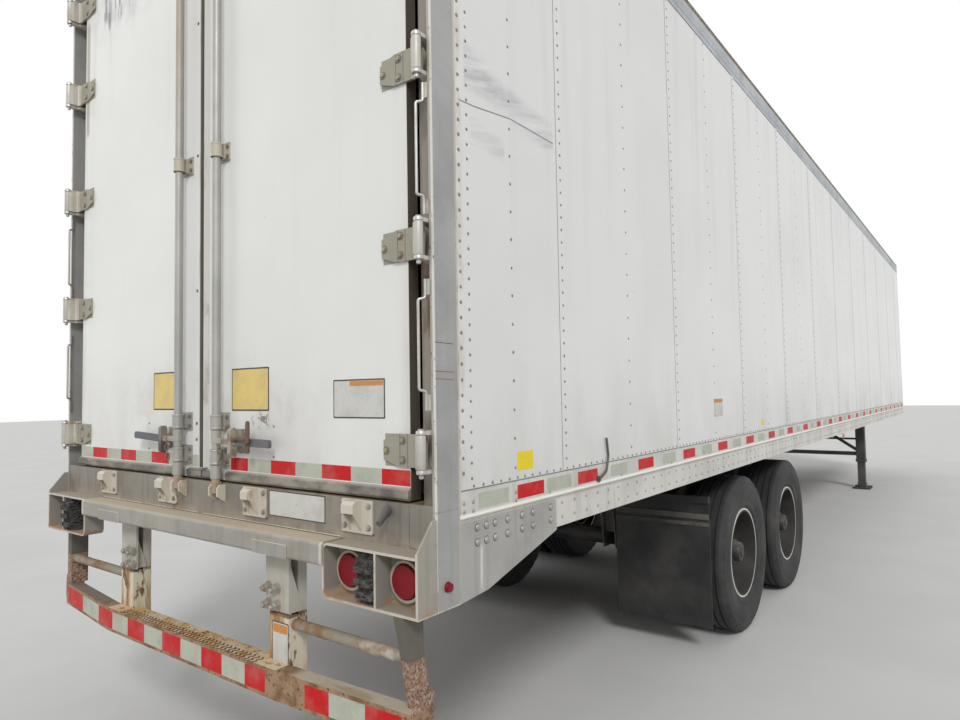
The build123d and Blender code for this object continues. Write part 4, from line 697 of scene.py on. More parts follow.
# %% Table of finishes
node_finishes = {
    side_white: ["side_wall_right", "side_wall_left", "front_wall"],
    door_white: ["door_right", "door_left"],
    roof_white: ["roof"],
    rail_metal: ["bottom_rails"],
    top_metal: ["top_rails"],
    post_metal: ["rear_post_right", "rear_post_left"],
    galvanised: ["rear_header"],
    sill_metal: ["rear_sill"],
    shelf_metal: ["bumper_shelf"],
    stainless: ["corner_plates"],
    bright_metal: ["post_rods"],
    dark_hook: ["door_holdbacks"],
    rod_metal: ["lock_rod_right", "lock_rod_left"],
    cream: ["hinge_butts", "hinge_straps_right", "hinge_straps_left"],
    guard_rust: ["underride_guard"],
    beam_grey: ["cross_members"],
    black: ["bogie_frame", "axle_rear", "axle_front", "springs", "air_tank", "coupler_plate", "kingpin",
            "air_couplings"],
    leg_black: ["landing_leg_right", "landing_leg_left", "landing_brace"],
    flap_rubber: ["mud_flaps"],
    bumper_rubber: ["dock_bumpers"],
    seal_rubber: ["door_seal_right", "door_seal_left"],
    red_lens: ["red_lamps"],
    amber_lens: ["amber_lamps"],
    tyre_rubber: [f"tyres_{axle}_{side}" for axle in AXLES for side in SIDES],
}
slider_metal = weathered_metal("slider_rail_paint", (0.50, 0.49, 0.46), metal=0.3, rough=0.55, rust=0.4, dust=0.5)
node_finishes[slider_metal] = ["slider_rails"]
for axle in AXLES:
    node_finishes[wheel_finish(axle)] = [f"wheels_{axle}_{side}" for side in SIDES]
print(len(node_finishes), "finishes in the table")

# %% [markdown]
# ## Sealant and the oak floor
# Sealant fills the seams and the line beside the posts. The floor is oak boards 180 mm wide with dark
# joints, made by repeating the place across the floor in steps.

# %% Sealant, oak floor, and the table applied
# Dark grey for sealant in the seams, and painted shade for the rings under bolts and the line under the top flange.
sealant_and_shade = rubber("sealant_and_painted_shade", (0.16, 0.155, 0.15), 0.4)
post_sealant = rubber("post_sealant", (0.60, 0.57, 0.50), 0.2)
post_sealant.layer((post_sealant.patches(30.0, 0.56, 0.66, stretch=(1, 1, 0.4)), 0.6), (0.34, 0.25, 0.17), 0.9)
floor_wood = Finish("oak_floor", (0.30, 0.20, 0.115), rough=0.6)
boards = floor_wood.maths("FRACT", floor_wood.maths("MULTIPLY", floor_wood.axis("Y"), 5.5))
floor_wood.layer(floor_wood.patches(24.0, 0.4, 0.7, stretch=(0.05, 1, 1)), (0.20, 0.125, 0.07), 0.65)
floor_wood.layer(floor_wood.ramp(boards, 0.03, 0.0), (0.05, 0.035, 0.025), 0.9)
floor_wood.relief(floor_wood.ramp(boards, 0.0, 0.04), 1.5)
node_finishes[floor_wood] = ["floor"]

for finish, names in node_finishes.items():
    for name in names:
        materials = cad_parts[name].data.materials
        materials.clear()
        materials.append(finish.material)
bare = [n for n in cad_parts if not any(n in names for names in node_finishes.values())]
print("solids still without a finish:", bare)

# %% [markdown]
# ## Shapes made from rules
# Most small pieces on a trailer are turned (rivets, bolt heads, lamp rings) or cut from plate (tape,
# labels, washers). Two functions make those as plain lists of corners and faces, which are quick to
# make and easy to check.

# %% Turned and cut shapes
FACING = {
    "right": (math.pi / 2, 0, 0),
    "left": (math.pi / 2, 0, math.pi),
    "rear": (math.pi / 2, 0, -math.pi / 2),
    "front": (math.pi / 2, 0, math.pi / 2),
    "up": (0, 0, 0),
    "down": (math.pi, 0, 0),
}


def turned(profile, sides, start=0.0):
    """A shape turned round Z from (radius, height) pairs, closed at both ends, outside first."""
    corners, faces, rings = [], [], []
    for radius, height in profile:
        if radius < 1e-6:
            rings.append([len(corners)])
            corners.append((0.0, 0.0, height))
            continue
        rings.append(list(range(len(corners), len(corners) + sides)))
        for number in range(sides):
            angle = start + 2 * math.pi * number / sides
            corners.append((radius * math.cos(angle), radius * math.sin(angle), height))
    for below, above in zip(rings, rings[1:]):
        for number in range(sides):
            after = (number + 1) % sides
            if len(below) > 1 and len(above) > 1:
                faces.append((below[number], below[after], above[after], above[number]))
            elif len(below) > 1:
                faces.append((below[number], below[after], above[0]))
            elif len(above) > 1:
                faces.append((below[0], above[after], above[number]))
    if len(rings[0]) > 1:
        faces.append(tuple(reversed(rings[0])))
    if len(rings[-1]) > 1:
        faces.append(tuple(rings[-1]))
    return corners, faces


def plate(width, height, thick, corner=0.0, steps=3):
    """A flat plate in X and Y with rounded corners, its back at Z 0."""
    rim = []
    for quarter, (sx, sy) in enumerate(((1, 1), (-1, 1), (-1, -1), (1, -1))):
        centre = (sx * (width / 2 - corner), sy * (height / 2 - corner))
        for step in range(steps + 1 if corner else 1):
            angle = math.pi / 2 * (quarter + (step / steps if corner else 0))
            rim.append((centre[0] + corner * math.cos(angle), centre[1] + corner * math.sin(angle)))
    count = len(rim)
    corners = [(x, y, 0.0) for x, y in rim] + [(x, y, thick) for x, y in rim]
    faces = [tuple(reversed(range(count))), tuple(range(count, 2 * count))]
    faces += [(n, (n + 1) % count, count + (n + 1) % count, count + n) for n in range(count)]
    return corners, faces


def bar(low, high):
    """A straight bar between two opposite corners."""
    corners = [(x, y, z) for z in (low[2], high[2]) for x, y in (
        (low[0], low[1]), (high[0], low[1]), (high[0], high[1]), (low[0], high[1]))]
    faces = [(3, 2, 1, 0), (4, 5, 6, 7)] + [(n, (n + 1) % 4, 4 + (n + 1) % 4, 4 + n) for n in range(4)]
    return corners, faces
print("a plate with square corners has", len(plate(1, 1, 1)[1]), "faces")

# %% [markdown]
# ## Placing and joining shapes
# `placed` turns a shape to face a side of the trailer and moves it, `joined` puts several together,
# and `add_piece` makes one smooth mesh object of them that rides on a body.

# %% Placing and joining
def placed(shape, place, facing="up", spin=0.0):
    """The shape turned to face a side of the trailer and moved to its place."""
    turn = Euler(FACING[facing]).to_matrix() @ Matrix.Rotation(spin, 3, "Z")
    corners, faces = shape
    return [tuple(Vector(place) + turn @ Vector(corner)) for corner in corners], faces


def joined(shapes):
    corners, faces = [], []
    for shape_corners, shape_faces in shapes:
        offset = len(corners)
        corners += shape_corners
        faces += [tuple(index + offset for index in face) for face in shape_faces]
    return corners, faces


def add_piece(name, shapes, finish, body=TRAILER, smooth=40):
    """One mesh object from several placed shapes, riding on a body."""
    corners, faces = joined(shapes)
    mesh = bpy.data.meshes.new(name)
    mesh.from_pydata(corners, [], faces)
    mesh.materials.append(finish.material)
    piece = bpy.data.objects.new(name, mesh)
    bpy.context.scene.collection.objects.link(piece)
    mesh.polygons.foreach_set("use_smooth", [True] * len(faces))
    mesh.set_sharp_from_angle(angle=math.radians(smooth))
    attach(piece, body)
    return piece

# %% [markdown]
# ## Strips and tubes along a line
# Tape on a bent bar and rods of bent wire both follow a line. `ribbon` stands a strip on it, `tube`
# sweeps a ring along it, and `rounded` replaces sharp corners of the line by short curves.

# %% Strips and tubes
def ribbon(line, low, high, thick):
    """A thin strip that stands on a line of (x, y) points, its outer face towards the line's right."""
    inner = []
    for number, (x, y) in enumerate(line):
        before, after = line[max(number - 1, 0)], line[min(number + 1, len(line) - 1)]
        run = Vector((after[0] - before[0], after[1] - before[1])).normalized()
        inner.append((x - run.y * thick, y + run.x * thick))
    count = len(line)
    ring = list(line) + inner[::-1]
    corners = [(x, y, low) for x, y in ring] + [(x, y, high) for x, y in ring]
    total = 2 * count
    faces = [(n, (n + 1) % total, total + (n + 1) % total, total + n) for n in range(total)]
    for n in range(count - 1):
        faces.append((total - 1 - n, total - 2 - n, n + 1, n))
        faces.append((total + n, total + n + 1, 2 * total - 2 - n, 2 * total - 1 - n))
    return corners, faces


def tube(points, radius, sides=8, closed=False):
    """A round bar along points, turned smoothly from one to the next, with flat ends."""
    points = [Vector(point) for point in points]
    corners, faces = [], []
    guide = None
    for number, point in enumerate(points):
        before, after = points[max(number - 1, 0)], points[min(number + 1, len(points) - 1)]
        if closed:
            before, after = points[number - 1], points[(number + 1) % len(points)]
        ahead = (after - before).normalized()
        if guide is None:
            guide = ahead.orthogonal()
        guide = (guide - ahead * guide.dot(ahead)).normalized()
        aside = ahead.cross(guide)
        for side in range(sides):
            angle = 2 * math.pi * side / sides
            corners.append(tuple(point + (guide * math.cos(angle) + aside * math.sin(angle)) * radius))
    runs = len(points) if closed else len(points) - 1
    for run in range(runs):
        first, second = run * sides, ((run + 1) % len(points)) * sides
        for side in range(sides):
            after = (side + 1) % sides
            faces.append((first + side, first + after, second + after, second + side))
    if not closed:
        faces.append(tuple(range(sides - 1, -1, -1)))
        faces.append(tuple(range(len(corners) - sides, len(corners))))
    return corners, faces


def rounded(points, cut, steps=4):
    """The points with each inner corner replaced by a short curve, cut metres from it."""
    points = [Vector(point) for point in points]
    smooth = [points[0]]
    for before, corner, after in zip(points, points[1:], points[2:]):
        start = corner + (before - corner).normalized() * min(cut, (before - corner).length / 2)
        end = corner + (after - corner).normalized() * min(cut, (after - corner).length / 2)
        for step in range(steps + 1):
            share = step / steps
            smooth.append(start.lerp(corner, share).lerp(corner.lerp(end, share), share))
    return smooth + [points[-1]]


print("strips, tubes and rounded corners ready")

# %% [markdown]
# ## Rivets, bolts and screws
# Each profile is a list of radius and height, from the foot to the top. A shape that repeats a
# thousand times has only a few dozen faces.

# %% Rivets, bolts and screws
rivet = turned([(0.0078, 0.0), (0.0078, 0.0006), (0.0058, 0.0026), (0.0026, 0.0037), (0.0, 0.0039)], 10)
small_rivet = turned([(0.0060, 0.0), (0.0060, 0.0005), (0.0042, 0.0020), (0.0, 0.0027)], 8)
dome_bolt = turned([(0.0118, 0.0), (0.0118, 0.0022), (0.0104, 0.0048), (0.0062, 0.0068), (0.0, 0.0074)], 16)
# A flat dark ring laid under a bolt as painted shade.
shade_rim = turned([(0.0142, 0.0), (0.0136, 0.0006)], 16)
post_rivet = turned([(0.0068, 0.0), (0.0068, 0.0006), (0.0050, 0.0024), (0.0, 0.0033)], 10)
small_screw = turned([(0.0050, 0.0), (0.0050, 0.0014), (0.0034, 0.0026), (0.0, 0.0026)], 8)
print("a rivet has", len(rivet[1]), "faces and a domed bolt", len(dome_bolt[1]))

# %% [markdown]
# ## Fixings in rows
# A trailer's side holds over a thousand rivets, all in straight rows. Copying objects by hand would
# fill the scene with them. Geometry Nodes need only one point for each row: the point carries how many
# fixings follow, the step between them and the way they face. Duplicate Elements repeats the point,
# Set Position moves each copy along, and Instance on Points puts the fixing there, a little uneven.
# Realize Instances makes plain mesh of it at the end, because an export drops instances.

# %% The tree for rows of fixings
ROWS = bpy.data.node_groups.new("Fixings in rows", "GeometryNodeTree")
for name, kind in (("Row starts", "Geometry"), ("Fixing", "Object"), ("Finish", "Material"),
                   ("Uneven size", "Float"), ("Uneven place", "Float"), ("Seed", "Int")):
    ROWS.interface.new_socket(name, in_out="INPUT", socket_type="NodeSocket" + kind)
ROWS.interface.new_socket("Fixings", in_out="OUTPUT", socket_type="NodeSocketGeometry")


def row_node(kind, inputs, **settings):
    """Adds a node to the tree with its inputs fed, and gives its outputs."""
    node = ROWS.nodes.new(kind)
    for setting, value in settings.items():
        setattr(node, setting, value)
    for socket, value in inputs.items():
        if isinstance(value, bpy.types.NodeSocket):
            ROWS.links.new(value, node.inputs[socket])
        else:
            node.inputs[socket].default_value = value
    return node.outputs


def carried(kind, name):
    """What each row's point carries under a name."""
    return row_node("GeometryNodeInputNamedAttribute", {"Name": name}, data_type=kind)["Attribute"]


def sum_of(operation, first, second):
    return row_node("ShaderNodeMath", {0: first, 1: second}, operation=operation)[0]


def scaled(vector, scale):
    return row_node("ShaderNodeVectorMath", {0: vector, "Scale": scale}, operation="SCALE")[0]


print("helpers for the rows tree ready")

# %% [markdown]
# ## From a point to a row
# The chain below is read from top to bottom: repeat the point, step each copy along the row, let it
# drift a little, put a turned fixing on it in a slightly uneven size, and make it real mesh.

# %% The chain of nodes
given = row_node("NodeGroupInput", {})
repeat = row_node("GeometryNodeDuplicateElements",
                  {"Geometry": given["Row starts"], "Amount": carried("INT", "count")}, domain="POINT")
step = carried("FLOAT_VECTOR", "step")
points = row_node("GeometryNodeSetPosition",
                  {"Geometry": repeat["Geometry"], "Offset": scaled(step, repeat["Duplicate Index"])})["Geometry"]
drift = row_node("FunctionNodeRandomValue", {"Seed": given["Seed"]}, data_type="FLOAT")[1]
drift = sum_of("MULTIPLY", sum_of("SUBTRACT", drift, 0.5), given["Uneven place"])
points = row_node("GeometryNodeSetPosition", {"Geometry": points, "Offset": scaled(step, drift)})["Geometry"]
least = sum_of("SUBTRACT", 1.0, given["Uneven size"])
size = row_node("FunctionNodeRandomValue", {2: least, 3: 1.0, "Seed": given["Seed"]}, data_type="FLOAT")[1]
shape = row_node("GeometryNodeObjectInfo", {"Object": given["Fixing"]})["Geometry"]
turn = row_node("FunctionNodeEulerToRotation", {0: carried("FLOAT_VECTOR", "turn")})[0]
put = row_node("GeometryNodeInstanceOnPoints", {"Points": points, "Instance": shape, "Rotation": turn, "Scale": size})
real = row_node("GeometryNodeRealizeInstances", {"Geometry": put["Instances"]})["Geometry"]
done = row_node("GeometryNodeSetMaterial", {"Geometry": real, "Material": given["Finish"]})["Geometry"]
row_node("NodeGroupOutput", {"Fixings": done})
identifiers = {item.name: item.identifier for item in ROWS.interface.items_tree if item.in_out == "INPUT"}
print("the rows tree has", len(ROWS.nodes), "nodes")

# %% [markdown]
# ## One piece from a table of rows
# `add_rows` writes the table's numbers on a mesh of start points, grows the rows with the tree, keeps
# the result as a plain mesh and clears its helpers away.

# %% Rows become a piece
def add_rows(name, rows, fixing, finish, body=TRAILER, size=0.0, place=0.0, seed=1):
    """Rows are (start, step, count, facing). The fixing repeats along each row."""
    starts = bpy.data.meshes.new(name + "_starts")
    starts.from_pydata([row[0] for row in rows], [], [])
    for attribute, kind, field, values in (
        ("count", "INT", "value", [row[2] for row in rows]),
        ("step", "FLOAT_VECTOR", "vector", [part for row in rows for part in row[1]]),
        ("turn", "FLOAT_VECTOR", "vector", [part for row in rows for part in FACING[row[3]]]),
    ):
        starts.attributes.new(attribute, kind, "POINT").data.foreach_set(field, values)
    source = bpy.data.objects.new(name + "_source", starts)
    shape_mesh = bpy.data.meshes.new(name + "_shape")
    shape_mesh.from_pydata(fixing[0], [], fixing[1])
    shape_mesh.materials.append(finish.material)
    shape_mesh.polygons.foreach_set("use_smooth", [True] * len(fixing[1]))
    shape_mesh.set_sharp_from_angle(angle=math.radians(40))
    shape = bpy.data.objects.new(name + "_shape", shape_mesh)
    for helper in (source, shape):
        bpy.context.scene.collection.objects.link(helper)
    grow = source.modifiers.new("Rows", "NODES")
    grow.node_group = ROWS
    for socket, value in (("Fixing", shape), ("Finish", finish.material), ("Uneven size", size),
                          ("Uneven place", place), ("Seed", seed)):
        grow[identifiers[socket]] = value
    bpy.context.view_layer.update()
    grown = source.evaluated_get(bpy.context.evaluated_depsgraph_get())
    mesh = bpy.data.meshes.new_from_object(grown)
    mesh.name = name
    for helper in (source, shape):
        bpy.data.objects.remove(helper)
    piece = bpy.data.objects.new(name, mesh)
    bpy.context.scene.collection.objects.link(piece)
    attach(piece, body)
    print(name, "has", sum(row[2] for row in rows), "fixings,", len(mesh.polygons), "faces")
    return piece


# %% [markdown]
# ## Rivets of the side panels
# Each side is made of sheets 48 inches (1.2192 m) wide. They lap at a seam with a rivet every 2 inches,
# and hang on a post half-way with a rivet every 4 inches. Rows of rivets also run along the sheets'
# lower edge, under the bottom rail's ridge and along the top rail. One small table of rows says it all.

# %% Side rivets
INCH = 0.0254
SEAM_STEP, POST_STEP = 2 * INCH, 4 * INCH
lap_step, lap_wide, line_wide = 0.0501, 0.052, 0.0022
LAP_PROUD, LINE_PROUD = 0.0012, 0.0006
seam_first, seam_pitch = rear + 0.79, 1.2192
seams = [seam_first + n * seam_pitch for n in range(11)]
posts = [rear + 0.431] + [seam + seam_pitch / 2 for seam in seams]
low_z, foot_z = rail_high + 0.045, rail_high + 0.008
panel_high, panel_middle = wall_top - rail_high - 0.004, (wall_top + rail_high) / 2
flange_long, flange_x = nose - rear - 0.28, (rear + nose) / 2 + 0.06


def rivet_a_side(side, sign):
    y = sign * sheet_face
    lap_face = sign * (sheet_face + LAP_PROUD)
    rows = [((x, lap_face, low_z), (0, 0, SEAM_STEP), 49, side) for x in seams]
    rows += [((x, y, low_z), (0, 0, POST_STEP), 25, side) for x in posts if x < nose - 0.1]
    rows += [((rear + 0.180, y, low_z - 0.012), (0, 0, lap_step), 50, side)]
    rows += [((rear + x, y, foot_z), (SEAM_STEP, 0, 0), count, side) for x, count in ((0.19, 6), (0.49, 258))]
    add_rows(f"side_rivets_{side}", rows, small_rivet, rivet_metal, size=0.12, place=0.03, seed=3)
    rows = [((rear + 0.1355, y, low_z + 0.008), (0, 0, lap_step), 49, side)]
    add_rows(f"post_rivets_{side}", rows, post_rivet, post_rivet_metal, size=0.15, place=0.06, seed=4)
    rows = [((rear + 0.748, y, z), (0.0998, 0, 0), 129, side) for z in (1.214, 1.159)]
    rows.append(((rear + 0.431, y, 1.264), (0, 0, 0.028), 2, side))
    rows += [((rear + 0.136, y, 1.266), (0, 0, 0.027), 2, side), ((rear + 0.184, y, 1.264), (0, 0, 0.029), 2, side)]
    rows.append(((rear + 0.665, y, 1.266), (seam_pitch / 2, 0, 0), 21, side))
    add_rows(f"rail_rivets_{side}", rows, rivet, corner_bolt_metal, size=0.10, place=0.03, seed=7)
    rows = [((rear + 0.16, sign * 1.295, wall_top + 0.02), (POST_STEP, 0, 0), 132, side)]
    add_rows(f"top_rail_rivets_{side}", rows, small_rivet, top_metal, size=0.10, seed=9)


print("seams at", [round(x, 2) for x in seams])

# %% [markdown]
# ## Laps and flanges of the side panels
# Where two sheets meet, the lap stands 1.2 mm proud with a dark line of sealant at its edge. The top
# rail's flange covers the sheets' upper ends, with a painted shadow line in the same dark grey below it.

# %% Panel laps and the top flange
def lap_a_side(side, sign):
    y = sign * sheet_face
    laps = [placed(plate(lap_wide, panel_high, LAP_PROUD), (x, y, panel_middle), side) for x in seams]
    add_piece(f"panel_laps_{side}", laps, side_white)
    lines = [placed(plate(line_wide, panel_high, LINE_PROUD), (x - 0.0272, y, panel_middle), side) for x in seams]
    add_piece(f"seam_lines_{side}", lines, sealant_and_shade)
    flange = placed(plate(flange_long, 0.036, 0.0016), (flange_x, y, wall_top - 0.018), side)
    add_piece(f"top_flange_{side}", [flange], top_metal)
    # A painted shadow: a thin dark strip under the flange's lower edge.
    shadow = placed(plate(flange_long, 0.004, 0.0010), (flange_x, y, wall_top - 0.0385), side)
    add_piece(f"top_seal_line_{side}", [shadow], sealant_and_shade)


for side, sign in SIDES.items():
    rivet_a_side(side, sign)
    lap_a_side(side, sign)
print(len(seams), "laps on each side")

# %% [markdown]
# ## Reflective tape
# The law asks for alternating red and white reflective tape along the sides, across the doors' foot and
# on the guard. Along the rail the patches are evenly spaced, so rows of one rounded plate do it. The
# tape was cut round the corner plate and the hinges near the rear, so there each patch has its own
# width and is made as a plate.

# %% Tape on the rails
TAPE_THICK, TAPE_CORNER = 0.0005, 0.003
tape_z, tape_high = 1.291, 0.050
pair_pitch = 0.593
white_start, red_start = rear + 1.2615, rear + 1.5595
pairs = int((nose - 0.25 - red_start) / pair_pitch) + 1
for side, sign in SIDES.items():
    y = sign * sheet_face
    for colour, start, wide, finish, seed in (
        ("white", white_start, 0.169, white_tape, 5), ("red", red_start, 0.181, red_tape, 6),
    ):
        row = [((start, y, tape_z), (pair_pitch, 0, 0), pairs, side)]
        patch = plate(wide, tape_high, TAPE_THICK, TAPE_CORNER)
        add_rows(f"{colour}_rail_tape_{side}", row, patch, finish, place=0.02, seed=seed)
    for colour, finish, spans in (
        ("white", white_tape, ((0.213, 0.386), (0.642, 0.826))),
        ("red", red_tape, ((0.441, 0.619), (0.881, 1.052))),
    ):
        patches = [
            placed(plate(end - start, tape_high, TAPE_THICK, TAPE_CORNER), (rear + (start + end) / 2, y, tape_z), side)
            for start, end in spans
        ]
        add_piece(f"{colour}_rear_rail_tape_{side}", patches, finish)
print("tape of the rails laid")

# %% [markdown]
# ## Tape across the doors and the guard
# These patches were measured on the photograph as widths along Y. Red ones lie over a continuous
# greenish-white strip, so the strip is cut into what is left between them: two patches never share a
# surface, which would flicker.

# %% Tape strips along Y
def strip(name, spans, x, z, high, finish, body):
    shapes = [
        placed(plate(abs(right - left), high, TAPE_THICK), (x, (left + right) / 2, z), "rear")
        for left, right in spans
    ]
    return add_piece(name, shapes, finish, body)


def between(low, high, taken):
    """What is left of low to high between the taken spans."""
    edges = [low] + [edge for span in sorted(taken) for edge in span] + [high]
    return [(a, b) for a, b in zip(edges[::2], edges[1::2]) if b - a > 0.004]


door_red = {
    "left": [(1.038, 0.884), (0.739, 0.592), (0.445, 0.293)],
    "right": [(-0.188, -0.304), (-0.452, -0.599), (-0.747, -0.897), (-1.045, -1.172)],
}
door_tape_z = 1.3525 + tape_high / 2
for side, sign in SIDES.items():
    body = f"door_{side}_body"
    taken = [tuple(sorted(span)) for span in door_red[side]]
    low, high = sorted((sign * 0.032, sign * 1.172))
    strip(f"door_red_tape_{side}", taken, door_face, door_tape_z, tape_high, red_tape, body)
    strip(f"door_white_tape_{side}", between(low, high, taken), door_face, door_tape_z, tape_high, white_tape, body)
print("door tape at", door_tape_z)

# %% [markdown]
# ## Tape on the bent guard
# The guard's tube is knocked forward at both ends, so its tape follows a bent line. `ribbon` stands a
# strip on any line of points. Two patches near the right post are gone, and bare rust shows there.

# %% Guard tape
GUARD_TAPE = 0.0009
guard_tape_low, guard_tape_high = 0.605, 0.681
guard_line = [(-0.020, 1.236), (-0.090, 0.621), (-0.090, -0.621), (-0.060, -1.236)]


def on_guard(y):
    """The tube's rear face at y, in metres from the rear posts' face."""
    for (x_a, y_a), (x_b, y_b) in zip(guard_line, guard_line[1:]):
        if y_b <= y <= y_a:
            return rear + x_a + (x_b - x_a) * (y_a - y) / (y_a - y_b)


def guard_strip(name, spans, finish):
    shapes = []
    for low, high in spans:
        stops = sorted({high, low, *(y for _, y in guard_line if low < y < high)}, reverse=True)
        line = [(on_guard(y) - GUARD_TAPE, y) for y in stops]
        shapes.append(ribbon(line, guard_tape_low, guard_tape_high, GUARD_TAPE))
    return add_piece(name, shapes, finish)


guard_red = [
    (0.97, 1.20), (0.574, 0.742), (0.286, 0.432), (-0.007, 0.136), (-0.298, -0.158), (-0.564, -0.445),
    (-0.889, -0.774), (-1.200, -1.050),
]
worn = [(-0.774, -0.564)]
guard_strip("guard_red_tape", guard_red, red_tape)
guard_strip("guard_white_tape", between(-1.050, 0.97, guard_red[1:-1] + worn), white_tape)
print(len(guard_red), "red patches on the guard")

# %% [markdown]
# ## Signs and labels
# Signs sit on both doors, on the sill and on the guard, and stickers low on the right side. Each is a
# thin plain plate in one colour. Most have a slightly larger dark plate behind them as a border, and
# some an orange strip along the top.

# %% Signs and labels
border_ink = rubber("sign_border_ink", (0.05, 0.05, 0.05), 0.4)
LABEL = 0.0006
guard_face_x = rear - 0.0297
signs = (
    ("yellow_border_left", "rear", (door_face, 0.3250, 1.677), 0.210, 0.170, border_ink, "door_left_body"),
    ("yellow_sign_left", "rear", (door_face - LABEL, 0.3250, 1.677), 0.198, 0.158, yellow_label, "door_left_body"),
    ("yellow_border_right", "rear", (door_face, -0.317, 1.674), 0.246, 0.170, border_ink, "door_right_body"),
    ("yellow_sign_right", "rear", (door_face - LABEL, -0.317, 1.674), 0.234, 0.158, yellow_label, "door_right_body"),
    ("white_border_right", "rear", (door_face, -0.9365, 1.6315), 0.253, 0.133, border_ink, "door_right_body"),
    ("white_sign_right", "rear", (door_face - LABEL, -0.9365, 1.6315), 0.243, 0.123, white_label, "door_right_body"),
    ("orange_sign_head", "rear", (door_face - 2 * LABEL, -0.975, 1.6835), 0.160, 0.016, orange_label,
     "door_right_body"),
    ("sill_border", "rear", (rear, -0.6255, 1.2475), 0.319, 0.095, border_ink, TRAILER),
    ("sill_sign", "rear", (rear - LABEL, -0.6255, 1.2475), 0.311, 0.087, white_label, TRAILER),
    ("guard_border", "rear", (guard_face_x, -0.572, 0.7620), 0.094, 0.144, border_ink, TRAILER),
    ("guard_sign", "rear", (guard_face_x - LABEL, -0.572, 0.7620), 0.086, 0.136, white_label, TRAILER),
    ("guard_sign_head", "rear", (guard_face_x - 2 * LABEL, -0.572, 0.8110), 0.080, 0.030, orange_label, TRAILER),
    ("rail_sticker", "right", (rear + 0.495, -sheet_face, 1.399), 0.103, 0.066, clear_yellow, TRAILER),
    ("side_sticker", "right", (rear + 2.680, -sheet_face, 1.530), 0.170, 0.110, white_label, TRAILER),
    ("side_sticker_head", "right", (rear + 2.680, -sheet_face - LABEL, 1.573), 0.160, 0.022, orange_label, TRAILER),
    ("small_sticker", "right", (rear + 3.680, -sheet_face, 1.397), 0.060, 0.040, clear_yellow, TRAILER),
)
for name, facing, place, wide, high, finish, body in signs:
    add_piece(name, [placed(plate(wide, high, LABEL, 0.004), place, facing)], finish, body)
print(len(signs), "plain plates")

# %% [markdown]
# ## Hinge bolts, knuckles and door bolts
# Each hinge leaf is held by three bolts: one near its tip and two where it is widest. The barrel turns
# between two worn knuckles that shine at their rims. Small bolts down the doors' inner edges hold the
# centre seal. The leaves are solids already, so only heads and rims are added, with a dark ring painted
# as shade under each leaf bolt.

# %% Hinge bolts and knuckles
hinge_z = [1.466, 2.122, 2.706, 3.290, 3.752]
leaf_face = door_face - 0.0093
leaf_bolt = joined([
    turned([(0.0105, 0.0), (0.0105, 0.0018)], 14),
    turned([(0.0080, 0.0018), (0.0080, 0.0068), (0.0066, 0.0080)], 6, 0.4),
])
seal_bolt = turned([(0.0075, 0.0), (0.0072, 0.0016), (0.0045, 0.0030), (0.0, 0.0034)], 10)
barrel_metal = weathered_metal("hinge_barrel_metal", (0.56, 0.55, 0.50), metal=0.3, rough=0.4, streak=0.4, rust=0.3)
pin_x, pin_y = rear - 0.030, 1.262
knuckle = turned([(0.0145, 0.0), (0.0162, 0.0020), (0.0162, 0.0100), (0.0145, 0.0125)], 20)
pin_head = turned([(0.0100, 0.0), (0.0100, 0.0035), (0.0070, 0.0060)], 14)
pin_tip = turned([(0.0050, 0.0), (0.0080, 0.0030), (0.0080, 0.0100)], 12)
barrel_shell = turned([(0.0147, -0.0515), (0.0152, -0.0490), (0.0152, 0.0490), (0.0147, 0.0515)], 24)
for side, sign in SIDES.items():
    rows, knuckles, sleeves = [], [], []
    for z in hinge_z:
        rows.append(((leaf_face, sign * 1.076, z - 0.003), (0, 0, 0), 1, "rear"))
        rows.append(((leaf_face, sign * 1.148, z - 0.031), (0, 0, 0.062), 2, "rear"))
        for shape, height in ((knuckle, -0.066), (knuckle, 0.0535), (pin_head, 0.0660), (pin_tip, -0.0800)):
            knuckles.append(placed(shape, (pin_x, sign * pin_y, z + height)))
        sleeves.append(placed(barrel_shell, (pin_x, sign * pin_y, z)))
    # Dark rings under the leaf bolts, painted as their shade.
    add_rows(f"hinge_bolt_rims_{side}", rows, shade_rim, sealant_and_shade, f"door_{side}_body")
    add_rows(f"hinge_bolts_{side}", rows, leaf_bolt, hinge_bolt_metal, f"door_{side}_body", size=0.05, seed=8)
    add_piece(f"hinge_knuckles_{side}", knuckles, bright_metal)
    add_piece(f"hinge_barrels_{side}", sleeves, barrel_metal, f"door_{side}_body")
    edge_y = sign * (0.065 if side == "left" else 0.055)
    rows = [((door_face, edge_y, z), (0, 0, step), count, "rear") for z, step, count in (
        (1.467, 0.068, 2), (2.105, 0.5915, 4))]
    add_rows(f"door_edge_bolts_{side}", rows, seal_bolt, brown_rivet, f"door_{side}_body", size=0.1, seed=10)
    rows = [((door_face, sign * 0.470, 1.415), (0, 0, 0.1160), 2, "rear")]
    add_rows(f"door_face_screws_{side}", rows, small_screw, post_rivet_metal, f"door_{side}_body", seed=10)
print("hinges bolted")

# %% [markdown]
# ## Lock rods and handles
# Two small bolts hold each side of a rod guide to its door, and rims stiffen its ends. The handle lies
# flat in its hasp, and its slate-grey end is a flat bar that a hand can grip; the left one stands a
# little up.

